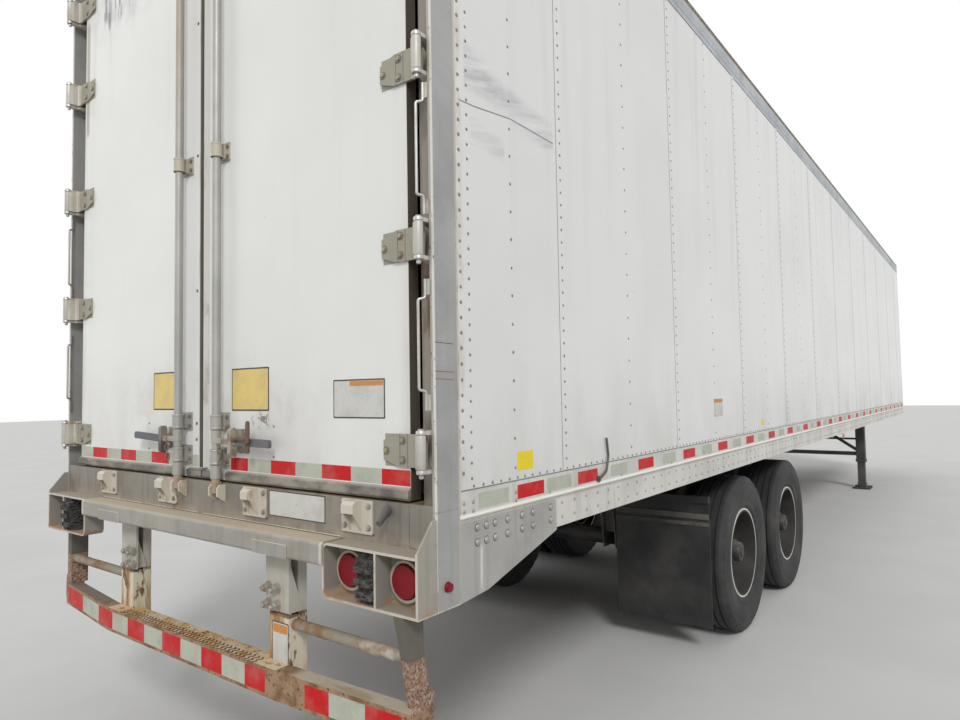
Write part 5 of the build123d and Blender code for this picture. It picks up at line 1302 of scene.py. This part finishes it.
# %% Guide bolts and grips
guide_z = [1.405, 1.545, 2.660, 3.700]
guide_bolt = turned([(0.0085, 0.0), (0.0085, 0.0060), (0.0068, 0.0072)], 6)
for side, sign in SIDES.items():
    body = f"door_{side}_body"
    rows = [((rear + 0.0117, sign * y, z - 0.020), (0, 0, 0.040), 2, "rear") for z in guide_z for y in (0.1060, 0.1725)]
    add_rows(f"guide_bolts_{side}", rows, guide_bolt, brown_rivet, body, size=0.05, seed=11)
    middle, high, tilt = (0.3935, 1.4755, -0.05) if side == "left" else (0.4020, 1.4695, -0.02)
    grip = [placed(plate(0.215, 0.030, 0.0134, 0.007), (rear - 0.0213, sign * middle, high), "rear", tilt)]
    add_piece(f"handle_grips_{side}", grip, handle_grey, body, 50)
    clamps = []
    for z in guide_z:
        rim = [(0.0232, 0.0), (0.0245, 0.002), (0.0245, 0.007), (0.0232, 0.009)]
        clamps += [placed(turned(rim, 24), (rear - 0.022, sign * 0.145, z + dz)) for dz in (-0.0300, 0.0210)]
    add_piece(f"guide_rims_{side}", clamps, rod_metal, body, 50)
print(len(guide_z), "guides on each rod")

# %% [markdown]
# ## A rusty hasp and two chains
# The right door has a second hasp, rusty and bolted through the handle. From both handles hang a few
# links of the chain that once kept them shut, each link turned a quarter against the one above.

# %% Hasp and chains
def link_ring(centre, wide, high, wire, turn):
    """One chain link: two half rounds and two straight sides, turned about Z."""
    points = []
    for number in range(16):
        angle = 2 * math.pi * number / 16
        across = wide / 2 * math.cos(angle)
        points.append((
            centre[0] + across * math.sin(turn),
            centre[1] + across * math.cos(turn),
            centre[2] + high / 2 * math.sin(angle) + (high - wide) / 4 * (1 if math.sin(angle) > 0 else -1),
        ))
    return tube(points, wire, 6, closed=True)


rusty_hasp = weathered_metal(
    "rusty_hasp_metal", (0.135, 0.085, 0.058), metal=0.1, rough=0.8, streak=0.4, rust=0.8, dust=0.15,
)
hasp = [
    placed(plate(0.021, 0.124, 0.0060, 0.0100, 5), (rear - 0.0350, -0.3830, 1.4905), "rear"),
    placed(plate(0.012, 0.020, 0.0390, 0.0040), (rear + 0.0178, -0.3830, 1.4700), "rear"),
    placed(turned([(0.0165, 0.0), (0.0165, 0.0060), (0.0120, 0.0085)], 16), (rear - 0.0405, -0.3830, 1.4780), "rear"),
    tube([(rear - x, y, z) for x, y, z in (
        (0.0385, -0.2850, 1.4760), (0.0400, -0.3200, 1.4850), (0.0440, -0.3800, 1.4800))], 0.0085, 8),
]
add_piece("rusty_hasp_right", hasp, rusty_hasp, "door_right_body", 50)

for side, count in (("left", 4), ("right", 5)):
    sign = SIDES[side]
    links = []
    for number in range(count):
        centre = (rear - 0.0435 + 0.001 * number, sign * 0.2015 - 0.001 * number, 1.452 - 0.0205 * number)
        links.append(link_ring(centre, 0.015, 0.021, 0.0026, 0.5 + 1.35 * (number % 2)))
    add_piece(f"hasp_chain_{side}", links, brown_rivet, f"door_{side}_body", 60)
print("hasp and chains hung")

# %% [markdown]
# ## Bracket bolts
# Four bolts hold each of the sill's hooded brackets.

# %% Bracket bolts
bracket_y = [-0.950, -0.380, 0.262, 0.812]
rows = [((rear - 0.0070, y + dy, 1.210), (0, 0, 0.070), 2, "rear") for y in bracket_y for dy in (-0.058, 0.058)]
add_rows("bracket_bolts", rows, leaf_bolt, fixing_metal, size=0.05, seed=12)
print(len(bracket_y), "brackets bolted")

# %% [markdown]
# ## Weld beads, straps and pocket covers
# Beads run where the lamp boxes meet the posts and where the shelf meets the sill. A bead is a row of
# short tubes whose thickness swells and shrinks a little, as the welder's hand moved on. A strap is
# welded over each guard post, and a plate closes the foot of each post's pocket.

# %% Beads, straps and covers
def bead(start, end, wide):
    """A weld bead from start to end, a little uneven."""
    start, end = Vector(start), Vector(end)
    count = max(3, int((end - start).length / 0.007))
    shapes = []
    for number in range(count):
        share = (number + 0.5) / count
        swell = wide * (0.86 + 0.20 * math.sin(number * 2.4) * math.sin(number * 0.7 + 1.0))
        half = 0.55 * (end - start) / count
        centre = start.lerp(end, share)
        shapes.append(tube([centre - half, centre + half * 0.2, centre + half], swell, 6))
    return joined(shapes)


weld_metal = weathered_metal("weld_bead_metal", (0.60, 0.57, 0.49), metal=0.3, rough=0.45, streak=0.2, rust=0.5)
beads = []
for side, sign in SIDES.items():
    beads.append(bead((rear, sign * 1.2952, 0.992), (rear, sign * 1.2952, 1.258), 0.0028))
    beads.append(bead((rear + 0.004, sign * 1.2945, 0.9862), (rear + 0.108, sign * 1.2945, 0.9862), 0.0026))
    beads.append(bead((rear - 0.0885, sign * 1.2945, 0.9862), (rear - 0.004, sign * 1.2945, 0.9862), 0.0026))
    beads.append(bead((rear - 0.0012, sign * 0.868, 1.1662), (rear - 0.0012, sign * 0.02, 1.1662), 0.0030))
    low, high = sorted((sign * 0.505, sign * 0.700))
    beads.append(bead((rear - 0.1013, low, 1.1340), (rear - 0.1013, high, 1.1340), 0.0026))
    beads.append(bead((rear - 0.1013, low, 1.0900), (rear - 0.1013, low, 1.1340), 0.0026))
    for y in bracket_y:
        beads.append(bead((rear - 0.0012, y - 0.074, 1.1874), (rear - 0.0012, y + 0.074, 1.1874), 0.0026))
add_piece("weld_beads", beads, weld_metal, smooth=70)
straps = [
    placed(plate(0.193, 0.044, 0.0022, 0.004), (rear - 0.1001, sign * 0.6025, 1.1110), "rear")
    for sign in SIDES.values()
]
add_piece("guard_straps", straps, shelf_metal)
covers = [
    placed(plate(0.0985, 0.136, 0.0030), (rear + 0.0045, sign * 1.22955, 1.2335), "rear")
    for sign in SIDES.values()
]
add_piece("pocket_foot_covers", covers, sill_metal)
print(len(beads), "weld beads")

# %% [markdown]
# ## Corner plate bolts and post sealant
# Fourteen domed bolts in two rows hold each corner plate, each on a dark ring painted as its shade. A
# strip of pale sealant closes the joint between post and side sheet.

# %% Corner bolts and sealant
plate_x = [0.2005, 0.2490, 0.2990, 0.3720, 0.4630, 0.5350, 0.6580]
trim_foot = 1.262
for side, sign in SIDES.items():
    rows = [((rear + x, sign * 1.2950, 1.160), (0, 0, 0.048), 2, side) for x in plate_x]
    # Dark rings under the corner bolts, painted as their shade.
    add_rows(f"corner_bolt_rims_{side}", rows, shade_rim, sealant_and_shade)
    add_rows(f"corner_bolts_{side}", rows, dome_bolt, corner_bolt_metal, size=0.05, seed=13)
    trim = plate(0.007, wall_top - trim_foot, 0.0020)
    trim = placed(trim, (rear + 0.1162, sign * sheet_face, (wall_top + trim_foot) / 2), side)
    add_piece(f"post_sealant_{side}", [trim], post_sealant)
print("corner plates bolted")

# %% [markdown]
# ## Bent guard rods
# Beside each lower hinge a thin bent rod keeps ropes and tarpaulins out of the hinge. The solid shows
# where it runs; this thinner tube follows the photograph's bends and stands for it. `rounded` bends a
# list of points, and small cream plates hold the ends.

# %% Guard rods on the posts
for side, sign in SIDES.items():
    rods, plates = [], []
    for low, high in ((1.593, 1.998), (2.200, 2.618)):
        half = [(-0.0062, 1.2660, low), (-0.0062, 1.2660, low + 0.050), (-0.0080, 1.2650, low + 0.059),
                (-0.0240, 1.2520, low + 0.063), (-0.0240, 1.2520, low + 0.082)]
        mirrored = [(x, y, low + high - z) for x, y, z in reversed(half)]
        line = [(rear + x, sign * y, z) for x, y, z in half + mirrored]
        rods.append(tube(rounded(line, 0.006), 0.0049, 10))
        for foot in (low + 0.0245, high - 0.0245):
            plates.append(placed(plate(0.018, 0.049, 0.0040, 0.002), (rear - 0.0008, sign * 1.2720, foot), "rear"))
    thin_rods = add_piece(f"bent_guard_rods_{side}", rods, bright_metal, smooth=60)
    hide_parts("post_rods")
    add_piece(f"guard_rod_plates_{side}", plates, weld_metal)
print("guard rods bent")

# %% [markdown]
# ## Guard bolts
# Four bolts hold each upper guard post, their nuts thick with rust. The washers are wide and the
# threads stick out, because the post was bolted on from behind.

# %% Guard bolts
guard_nut = joined([
    turned([(0.0215, 0.0), (0.0215, 0.0040)], 18),
    turned([(0.0165, 0.0040), (0.0165, 0.0190), (0.0145, 0.0215)], 6, 0.3),
    turned([(0.0095, 0.0215), (0.0095, 0.0330), (0.0080, 0.0350)], 10),
])
rows = [
    ((guard_face_x, sign * y, 0.890), (0, 0, 0.060), 2, "rear")
    for sign in SIDES.values() for y in (0.5050, 0.5530)
]
add_rows("guard_bolts", rows, guard_nut, fixing_metal, size=0.04, seed=14)
foot_rows = [((rear, sign * 1.246, 0.660), (0.022, 0, 0.030), 2, side) for side, sign in SIDES.items()]
add_rows("strut_bolts", foot_rows, leaf_bolt, brown_rivet, size=0.04, seed=15)
print(len(rows), "rows of guard bolts")

# %% [markdown]
# ## Tread lozenges on the guard
# The step on the guard is tread plate, rolled with short raised lozenges that lean left and right in
# turn. Rust sits round them, so they read dark. Four rows, two of each lean, come from the rows tree.

# %% Tread lozenges
tread_rust = weathered_metal("tread_rust", (0.13, 0.070, 0.036), metal=0.0, rough=0.9, streak=0.2, rust=0.4, dust=0.1)
tread_top = 0.6950
for lean, name, first in ((0.75, "left", -0.086), (-0.75, "right", -0.074)):
    shape = placed(plate(0.0070, 0.0200, 0.0014, 0.0030, 2), (0, 0, 0), "up", lean)
    rows = [((rear + first + dx, -0.492, tread_top), (0, 0.0246, 0), 41, "up") for dx in (0.0, 0.026)]
    add_rows(f"tread_lozenges_{name}", rows, shape, tread_rust, size=0.2, place=0.2, seed=16)
print("tread at a height of", tread_top)

# %% [markdown]
# ## Mud flap bars
# A pair of clamping bars with bolts holds each mud flap near its top.

# %% Mud flap bars and bolts
flap_bar = weathered_metal("mud_flap_bar", (0.06, 0.06, 0.058), metal=0.3, rough=0.55, streak=0.3, rust=0.4, dust=0.4)
flap_back = rear + 2.6695
bars, rows = [], []
for sign in SIDES.values():
    for z, high in ((0.802, 0.024), (0.850, 0.034)):
        bars.append(placed(plate(0.626, high, 0.007, 0.002), (flap_back, sign * 0.900, z), "rear"))
    for z in (0.802, 0.850):
        rows.append(((flap_back - 0.007, sign * 0.900 - 0.270, z), (0, 0.135, 0), 5, "rear"))
add_piece("mud_flap_bars", bars, flap_bar)
add_rows("mud_flap_bolts", rows, small_screw, flap_bar, size=0.05, seed=17)
print(len(bars), "flap bars")

# %% [markdown]
# ## Bolts of the bogie
# Under the box, two U-bolts clamp each spring to its axle over a bottom plate, a bolt holds each spring
# hanger's bushing, four pins lock the sliding frame, and bands close the brake chambers. They are made
# with `tube` and `turned`, because each is a bent or turned bar on the real trailer too.

# %% U-bolts, hanger bolts, pins and bands
axle_x = {"rear": rear + 3.285, "front": rear + 4.530}
u_bolts, under_plates, u_nuts, bands = [], [], [], []
u_nut = turned([(0.0150, 0.0), (0.0150, 0.0130), (0.0125, 0.0150)], 6)
band = turned([(0.0790, 0.0), (0.0850, 0.0030), (0.0850, 0.0120), (0.0790, 0.0150)], 32)
slider_pin = turned([(0.0260, 0.0), (0.0260, 0.0040), (0.0190, 0.0040), (0.0190, 0.0240), (0.0160, 0.0270)], 16)
for centre in axle_x.values():
    for sign in SIDES.values():
        for x in (centre - 0.060, centre + 0.060):
            low, high = (0.473, 0.432), (0.567, 0.688)
            legs = [(low[0], low[1]), (low[0], high[1]), (high[0], high[1]), (high[0], low[1])]
            u_bolts.append(tube(rounded([(x, sign * y, z) for y, z in legs], 0.022), 0.0085, 8))
            u_nuts += [placed(u_nut, (x, sign * y, 0.4395), "down") for y in (low[0], high[0])]
        under_plates.append(placed(plate(0.180, 0.130, 0.0140, 0.010), (centre, sign * 0.520, 0.4400)))
        bands.append(placed(band, (centre + 0.150, sign * 0.330 - 0.0075, 0.540), "left"))
add_piece("u_bolts", u_bolts, fixing_metal, smooth=60)
add_piece("u_bolt_nuts", u_nuts, fixing_metal)
add_piece("spring_under_plates", under_plates, black)
add_piece("chamber_bands", bands, fixing_metal)
for side, sign in SIDES.items():
    rows = [((rear + x, sign * 0.570, 0.622), (0, 0, 0.150), 2, side) for x in (2.795, 3.9075, 5.020)]
    add_rows(f"hanger_bolts_{side}", rows, guard_nut, fixing_metal, size=0.05, seed=18)
    rows = [((rear + 2.70, sign * 0.5575, 1.088), (0.78, 0, 0), 4, side)]
    add_rows(f"slider_pins_{side}", rows, slider_pin, fixing_metal, size=0.02, seed=19)
print(len(u_bolts), "U-bolts")

# %% [markdown]
# ## Brake hoses
# One hose runs from the air tank to each brake chamber. Its points are given along the frame,
# and `rounded` bends it between them.

# %% Brake hoses
hoses = []
for sign in SIDES.values():
    for centre in axle_x.values():
        line = [
            (rear + 6.46, sign * 0.12, 0.930), (rear + 5.9, sign * 0.22, 0.985),
            (centre + 0.60, sign * 0.26, 0.880), (centre + 0.30, sign * 0.30, 0.700),
            (centre + 0.152, sign * 0.330, 0.622),
        ]
        hoses.append(tube(rounded(line, 0.16, 6), 0.0085, 8))
add_piece("brake_hoses", hoses, flap_rubber, smooth=60)
print(len(hoses), "hoses")

# %% [markdown]
# ## Landing gear bolts
# Each leg hangs from the frame on two wings with three bolts each.

# %% Landing gear bolts
leg_x = rear + 11.000
for side, sign in SIDES.items():
    rows = [((leg_x + dx, sign * 0.9680, 0.965), (0, 0, 0.070), 3, side) for dx in (-0.090, 0.090)]
    add_rows(f"wing_bolts_{side}", rows, leaf_bolt, fixing_metal, size=0.03, seed=20)
print("landing gear bolted")

# %% [markdown]
# ## Front wall and roof edge
# Nobody sees the nose in the photograph, so it follows the way such trailers are made: sheets riveted
# down their laps and round their edges, and rivets down the roof's rail.

# %% Rivets of the nose and the roof rail
rows = [((nose, y, 1.25), (0, 0, SEAM_STEP), 52, "front") for y in (-0.610, 0.0, 0.610)]
rows += [((nose, y, 1.22), (0, 0, POST_STEP), 26, "front") for y in (-1.225, -0.305, 0.305, 1.225)]
rows += [((nose, -1.17, z), (0, 0.0650, 0), 37, "front") for z in (1.165, 3.900)]
add_rows("nose_rivets", rows, small_rivet, rivet_metal, size=0.12, place=0.03, seed=21)
roof_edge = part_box("top_rails")[1].z
for side, sign in SIDES.items():
    rows = [((rear + 0.18, sign * 1.2800, roof_edge), (POST_STEP, 0, 0), 132, "up")]
    add_rows(f"roof_rivets_{side}", rows, small_rivet, rivet_metal, size=0.10, seed=22)
print("nose and roof riveted")

# %% [markdown]
# ## Tyres
# A tyre is a profile turned round the axle. `ring_of` turns it in steps and can take several profiles
# in turn, which is how the shoulder gets its cuts: every third step has a profile with less rubber.

# %% Turning round the axle
def ring_of(profiles, sides, centre_y, x, z):
    """Turns profiles of (across, radius) pairs round the axle, one after the other along the ring."""
    corners, faces = [], []
    count = len(profiles[0])
    for number in range(sides):
        angle = 2 * math.pi * number / sides
        profile = profiles[number % len(profiles)]
        for across, radius in profile:
            corners.append((x + radius * math.sin(angle), centre_y + across, z + radius * math.cos(angle)))
    for number in range(sides):
        first, second = number * count, ((number + 1) % sides) * count
        for part in range(count):
            after = (part + 1) % count
            faces.append((first + part, first + after, second + after, second + part))
    return corners, faces
print("axles run along Y")

# %% [markdown]
# ## The tyre's profile
# From the bead outwards: a bulging sidewall with fine mould rings, a rounded shoulder, and a tread of
# ribs between straight grooves. The new tyres keep the solids' outline and stand for them.

# %% Four twin sets of tyres
def tyre_profile(shoulder_cut):
    """Half a tyre from its bead to the tread's middle, mirrored into a closed outline."""
    half = [
        (0.1004, 0.2863), (0.1090, 0.3000), (0.1180, 0.3160), (0.1195, 0.3185), (0.1250, 0.3330), (0.1240, 0.3360),
        (0.1310, 0.3600), (0.1365, 0.3850), (0.1390, 0.4100), (0.1393, 0.4300), (0.1375, 0.4520), (0.1345, 0.4700),
        (0.1355, 0.4730), (0.1320, 0.4870), (0.1270 - shoulder_cut, 0.4990), (0.1190 - shoulder_cut, 0.5090),
        (0.1130 - shoulder_cut, 0.5165 - 0.4 * shoulder_cut), (0.1000, 0.5190),
        (0.0800, 0.5194), (0.0780, 0.5080), (0.0680, 0.5080), (0.0660, 0.5196), (0.0330, 0.5199), (0.0310, 0.5080),
        (0.0210, 0.5080), (0.0190, 0.5200),
    ]
    return half + [(-across, radius) for across, radius in reversed(half)]


TYRE_SIDES = 120
for axle in AXLES:
    for side, sign in SIDES.items():
        x, z = axle_place(f"tyres_{axle}_{side}")
        rings = [
            ring_of([tyre_profile(0.0), tyre_profile(0.0), tyre_profile(0.006)], TYRE_SIDES, sign * across, x, z)
            for across in (1.128, 0.795)
        ]
        tyre = add_piece(f"road_tyres_{axle}_{side}", rings, tyre_rubber, f"wheel_{axle}_{side}", 50)
        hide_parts(f"tyres_{axle}_{side}")
print("a tyre has", len(tyre_profile(0.0)) * TYRE_SIDES, "faces")

# %% [markdown]
# ## Wheel nuts and hub caps
# Ten nuts on a 335 mm circle hold each outer disc, and the hub ends in a bolted cap. Rows can't go
# round a circle, so these shapes are placed by angle.

# %% Nuts and hub caps
wheel_nut = joined([
    turned([(0.0225, 0.0), (0.0225, 0.005)], 14),
    turned([(0.0185, 0.005), (0.0185, 0.024), (0.0160, 0.027)], 6),
    turned([(0.0095, 0.027), (0.0095, 0.036), (0.0080, 0.038)], 8),
])
hub_cap = turned([
    (0.080, 0.0), (0.080, 0.014), (0.069, 0.017), (0.066, 0.046), (0.060, 0.058), (0.034, 0.062),
    (0.032, 0.068), (0.0, 0.068),
], 32)
NUTS, NUT_CIRCLE = 10, 0.1675
STUDS, STUD_CIRCLE, CAP_FLANGE = 6, 0.0745, 0.014


def round_axle(shape, count, circle, middle, side, first=0.0, spin=False):
    """A shape repeated on a circle round an axle; `first` is the first one's place, in steps."""
    shapes = []
    for number in range(count):
        angle = 2 * math.pi * (number + first) / count
        place = (middle[0] + circle * math.cos(angle), middle[1], middle[2] + circle * math.sin(angle))
        shapes.append(placed(shape, place, side, angle if spin else 0.0))
    return shapes


for axle in AXLES:
    for side, sign in SIDES.items():
        x, z = axle_place(f"tyres_{axle}_{side}")
        disc_face, hub_face = sign * 0.9759, sign * 1.165
        nuts = round_axle(wheel_nut, NUTS, NUT_CIRCLE, (x, disc_face, z), side, 0.5, True)
        studs = round_axle(small_screw, STUDS, STUD_CIRCLE, (x, hub_face + sign * CAP_FLANGE, z), side)
        add_piece(f"wheel_nuts_{axle}_{side}", nuts, bright_metal, f"wheel_{axle}_{side}")
        cap = [placed(hub_cap, (x, hub_face, z), side)] + studs
        add_piece(f"hub_caps_{axle}_{side}", cap, black, f"wheel_{axle}_{side}")
print("wheels dressed")

# %% [markdown]
# ## Tail lamps
# Each tail lamp sits in a grey rubber ring on a square plate with rounded corners and four small
# screws. The red lens itself is a solid.

# %% Lamp rings and screws
lamp_y, lamp_z = (0.948, 1.195), 1.072
box_back = rear - 0.0203
lamp_ring = turned([
    (0.0600, 0.010), (0.0655, 0.004), (0.0665, 0.012), (0.0645, 0.016), (0.0590, 0.017), (0.0555, 0.014),
    (0.0555, 0.010),
], 40)
rings, screws = [], []
for sign in SIDES.values():
    for y in lamp_y:
        rings.append(placed(lamp_ring, (box_back, sign * y, lamp_z), "rear"))
        screws += [
            placed(small_screw, (box_back, sign * y + dy, lamp_z + dz), "rear")
            for dy in (-0.066, 0.066) for dz in (-0.062, 0.062)
        ]
ring_rubber = rubber("lamp_ring_rubber", (0.44, 0.405, 0.34), 0.5)
add_piece("lamp_rings", rings, ring_rubber)
add_piece("lamp_screws", screws, fixing_metal)
print(len(rings), "lamp rings,", len(screws), "screws")

# %% [markdown]
# ## The floor
# The stage is a plain pale floor, a little uneven in colour so that the shadow on it looks soft.

# %% Floor
floor_mesh = bpy.data.meshes.new("studio_floor")
FAR = 60
floor_mesh.from_pydata([(-FAR, -FAR, 0), (FAR, -FAR, 0), (FAR, FAR, 0), (-FAR, FAR, 0)], [], [(0, 1, 2, 3)])
studio_floor = bpy.data.objects.new("studio_floor", floor_mesh)
bpy.context.scene.collection.objects.link(studio_floor)
pale = Finish("studio_floor_paint", (0.62, 0.62, 0.61), rough=0.9)
pale.layer(pale.patches(1.2, 0.3, 0.7), (0.59, 0.59, 0.58))
floor_mesh.materials.append(pale.material)
print("floor laid")

# %% [markdown]
# ## A white surround
# Where the camera or a reflection looks past the trailer, the world is white. For all other light it
# is dimmer, so that shadows keep some depth.

# %% World
world = bpy.data.worlds.new("studio")
bpy.context.scene.world = world
world.use_nodes = True
background = world.node_tree.nodes["Background"]
background.inputs["Color"].default_value = (1.0, 1.0, 1.0, 1.0)
SHADOW_LIGHT, WHITE = 0.62, 1.0
add, link = world.node_tree.nodes.new, world.node_tree.links.new
rays = add("ShaderNodeLightPath").outputs
looking = rays["Is Camera Ray"]
for ray in ("Is Glossy Ray", "Is Transmission Ray"):
    either = add("ShaderNodeMath")
    either.operation = "MAXIMUM"
    link(looking, either.inputs[0])
    link(rays[ray], either.inputs[1])
    looking = either.outputs[0]
strength = add("ShaderNodeMapRange")
link(looking, strength.inputs["Value"])
strength.inputs["To Min"].default_value = SHADOW_LIGHT
strength.inputs["To Max"].default_value = WHITE
link(strength.outputs["Result"], background.inputs["Strength"])
print("surround ready")

# %% [markdown]
# ## Two suns
# The trailer is lit as in the photograph, from high on the right rear, but softly: a wide main sun and
# a weak, very wide one from the left for the far side.

# %% Suns
for name, strength_now, spread, towards in (
    ("key_sun", 1.55, 14.0, (0.62, 0.55, -0.62)),
    ("fill_sun", 0.35, 60.0, (0.3, -0.9, -0.35)),
):
    lamp = bpy.data.lights.new(name, "SUN")
    lamp.energy = strength_now
    lamp.angle = math.radians(spread)
    light = bpy.data.objects.new(name, lamp)
    bpy.context.scene.collection.objects.link(light)
    light.rotation_mode = "QUATERNION"
    light.rotation_quaternion = Vector(towards).to_track_quat("-Z", "Y")
print("two suns")

# %% [markdown]
# ## The camera
# It stands where the photograph was taken: 1.56 m behind the rear face, 2.64 m to the right of the
# middle and 1.64 m high, turned and tilted by angles that a fit to the trailer's edges gave.

# %% Camera
BEHIND, ASIDE, HIGH = 1.558, 2.644, 1.642
TURN, TILT, ROLL = 37.042, 2.848, -0.972
camera_data = bpy.data.cameras.new("photo_view")
camera_data.lens = 25.3
camera_data.sensor_width = 36.0
camera_data.clip_start, camera_data.clip_end = 0.05, 200
camera = bpy.data.objects.new("photo_view", camera_data)
bpy.context.scene.collection.objects.link(camera)
yaw, pitch, roll = (math.radians(angle) for angle in (TURN, TILT, ROLL))
forward = Vector((math.cos(yaw) * math.cos(pitch), math.sin(yaw) * math.cos(pitch), math.sin(pitch)))
across = Vector((math.sin(yaw), -math.cos(yaw), 0))
upward = across.cross(forward)
right = across * math.cos(roll) + upward * math.sin(roll)
top = upward * math.cos(roll) - across * math.sin(roll)
camera.matrix_world = Matrix((
    (right.x, top.x, -forward.x, rear - BEHIND),
    (right.y, top.y, -forward.y, -ASIDE),
    (right.z, top.z, -forward.z, HIGH),
    (0, 0, 0, 1),
))
bpy.context.scene.camera = camera
bpy.context.scene.view_settings.view_transform = "Standard"
print("camera at", [round(value, 3) for value in camera.matrix_world.translation])

# %% [markdown]
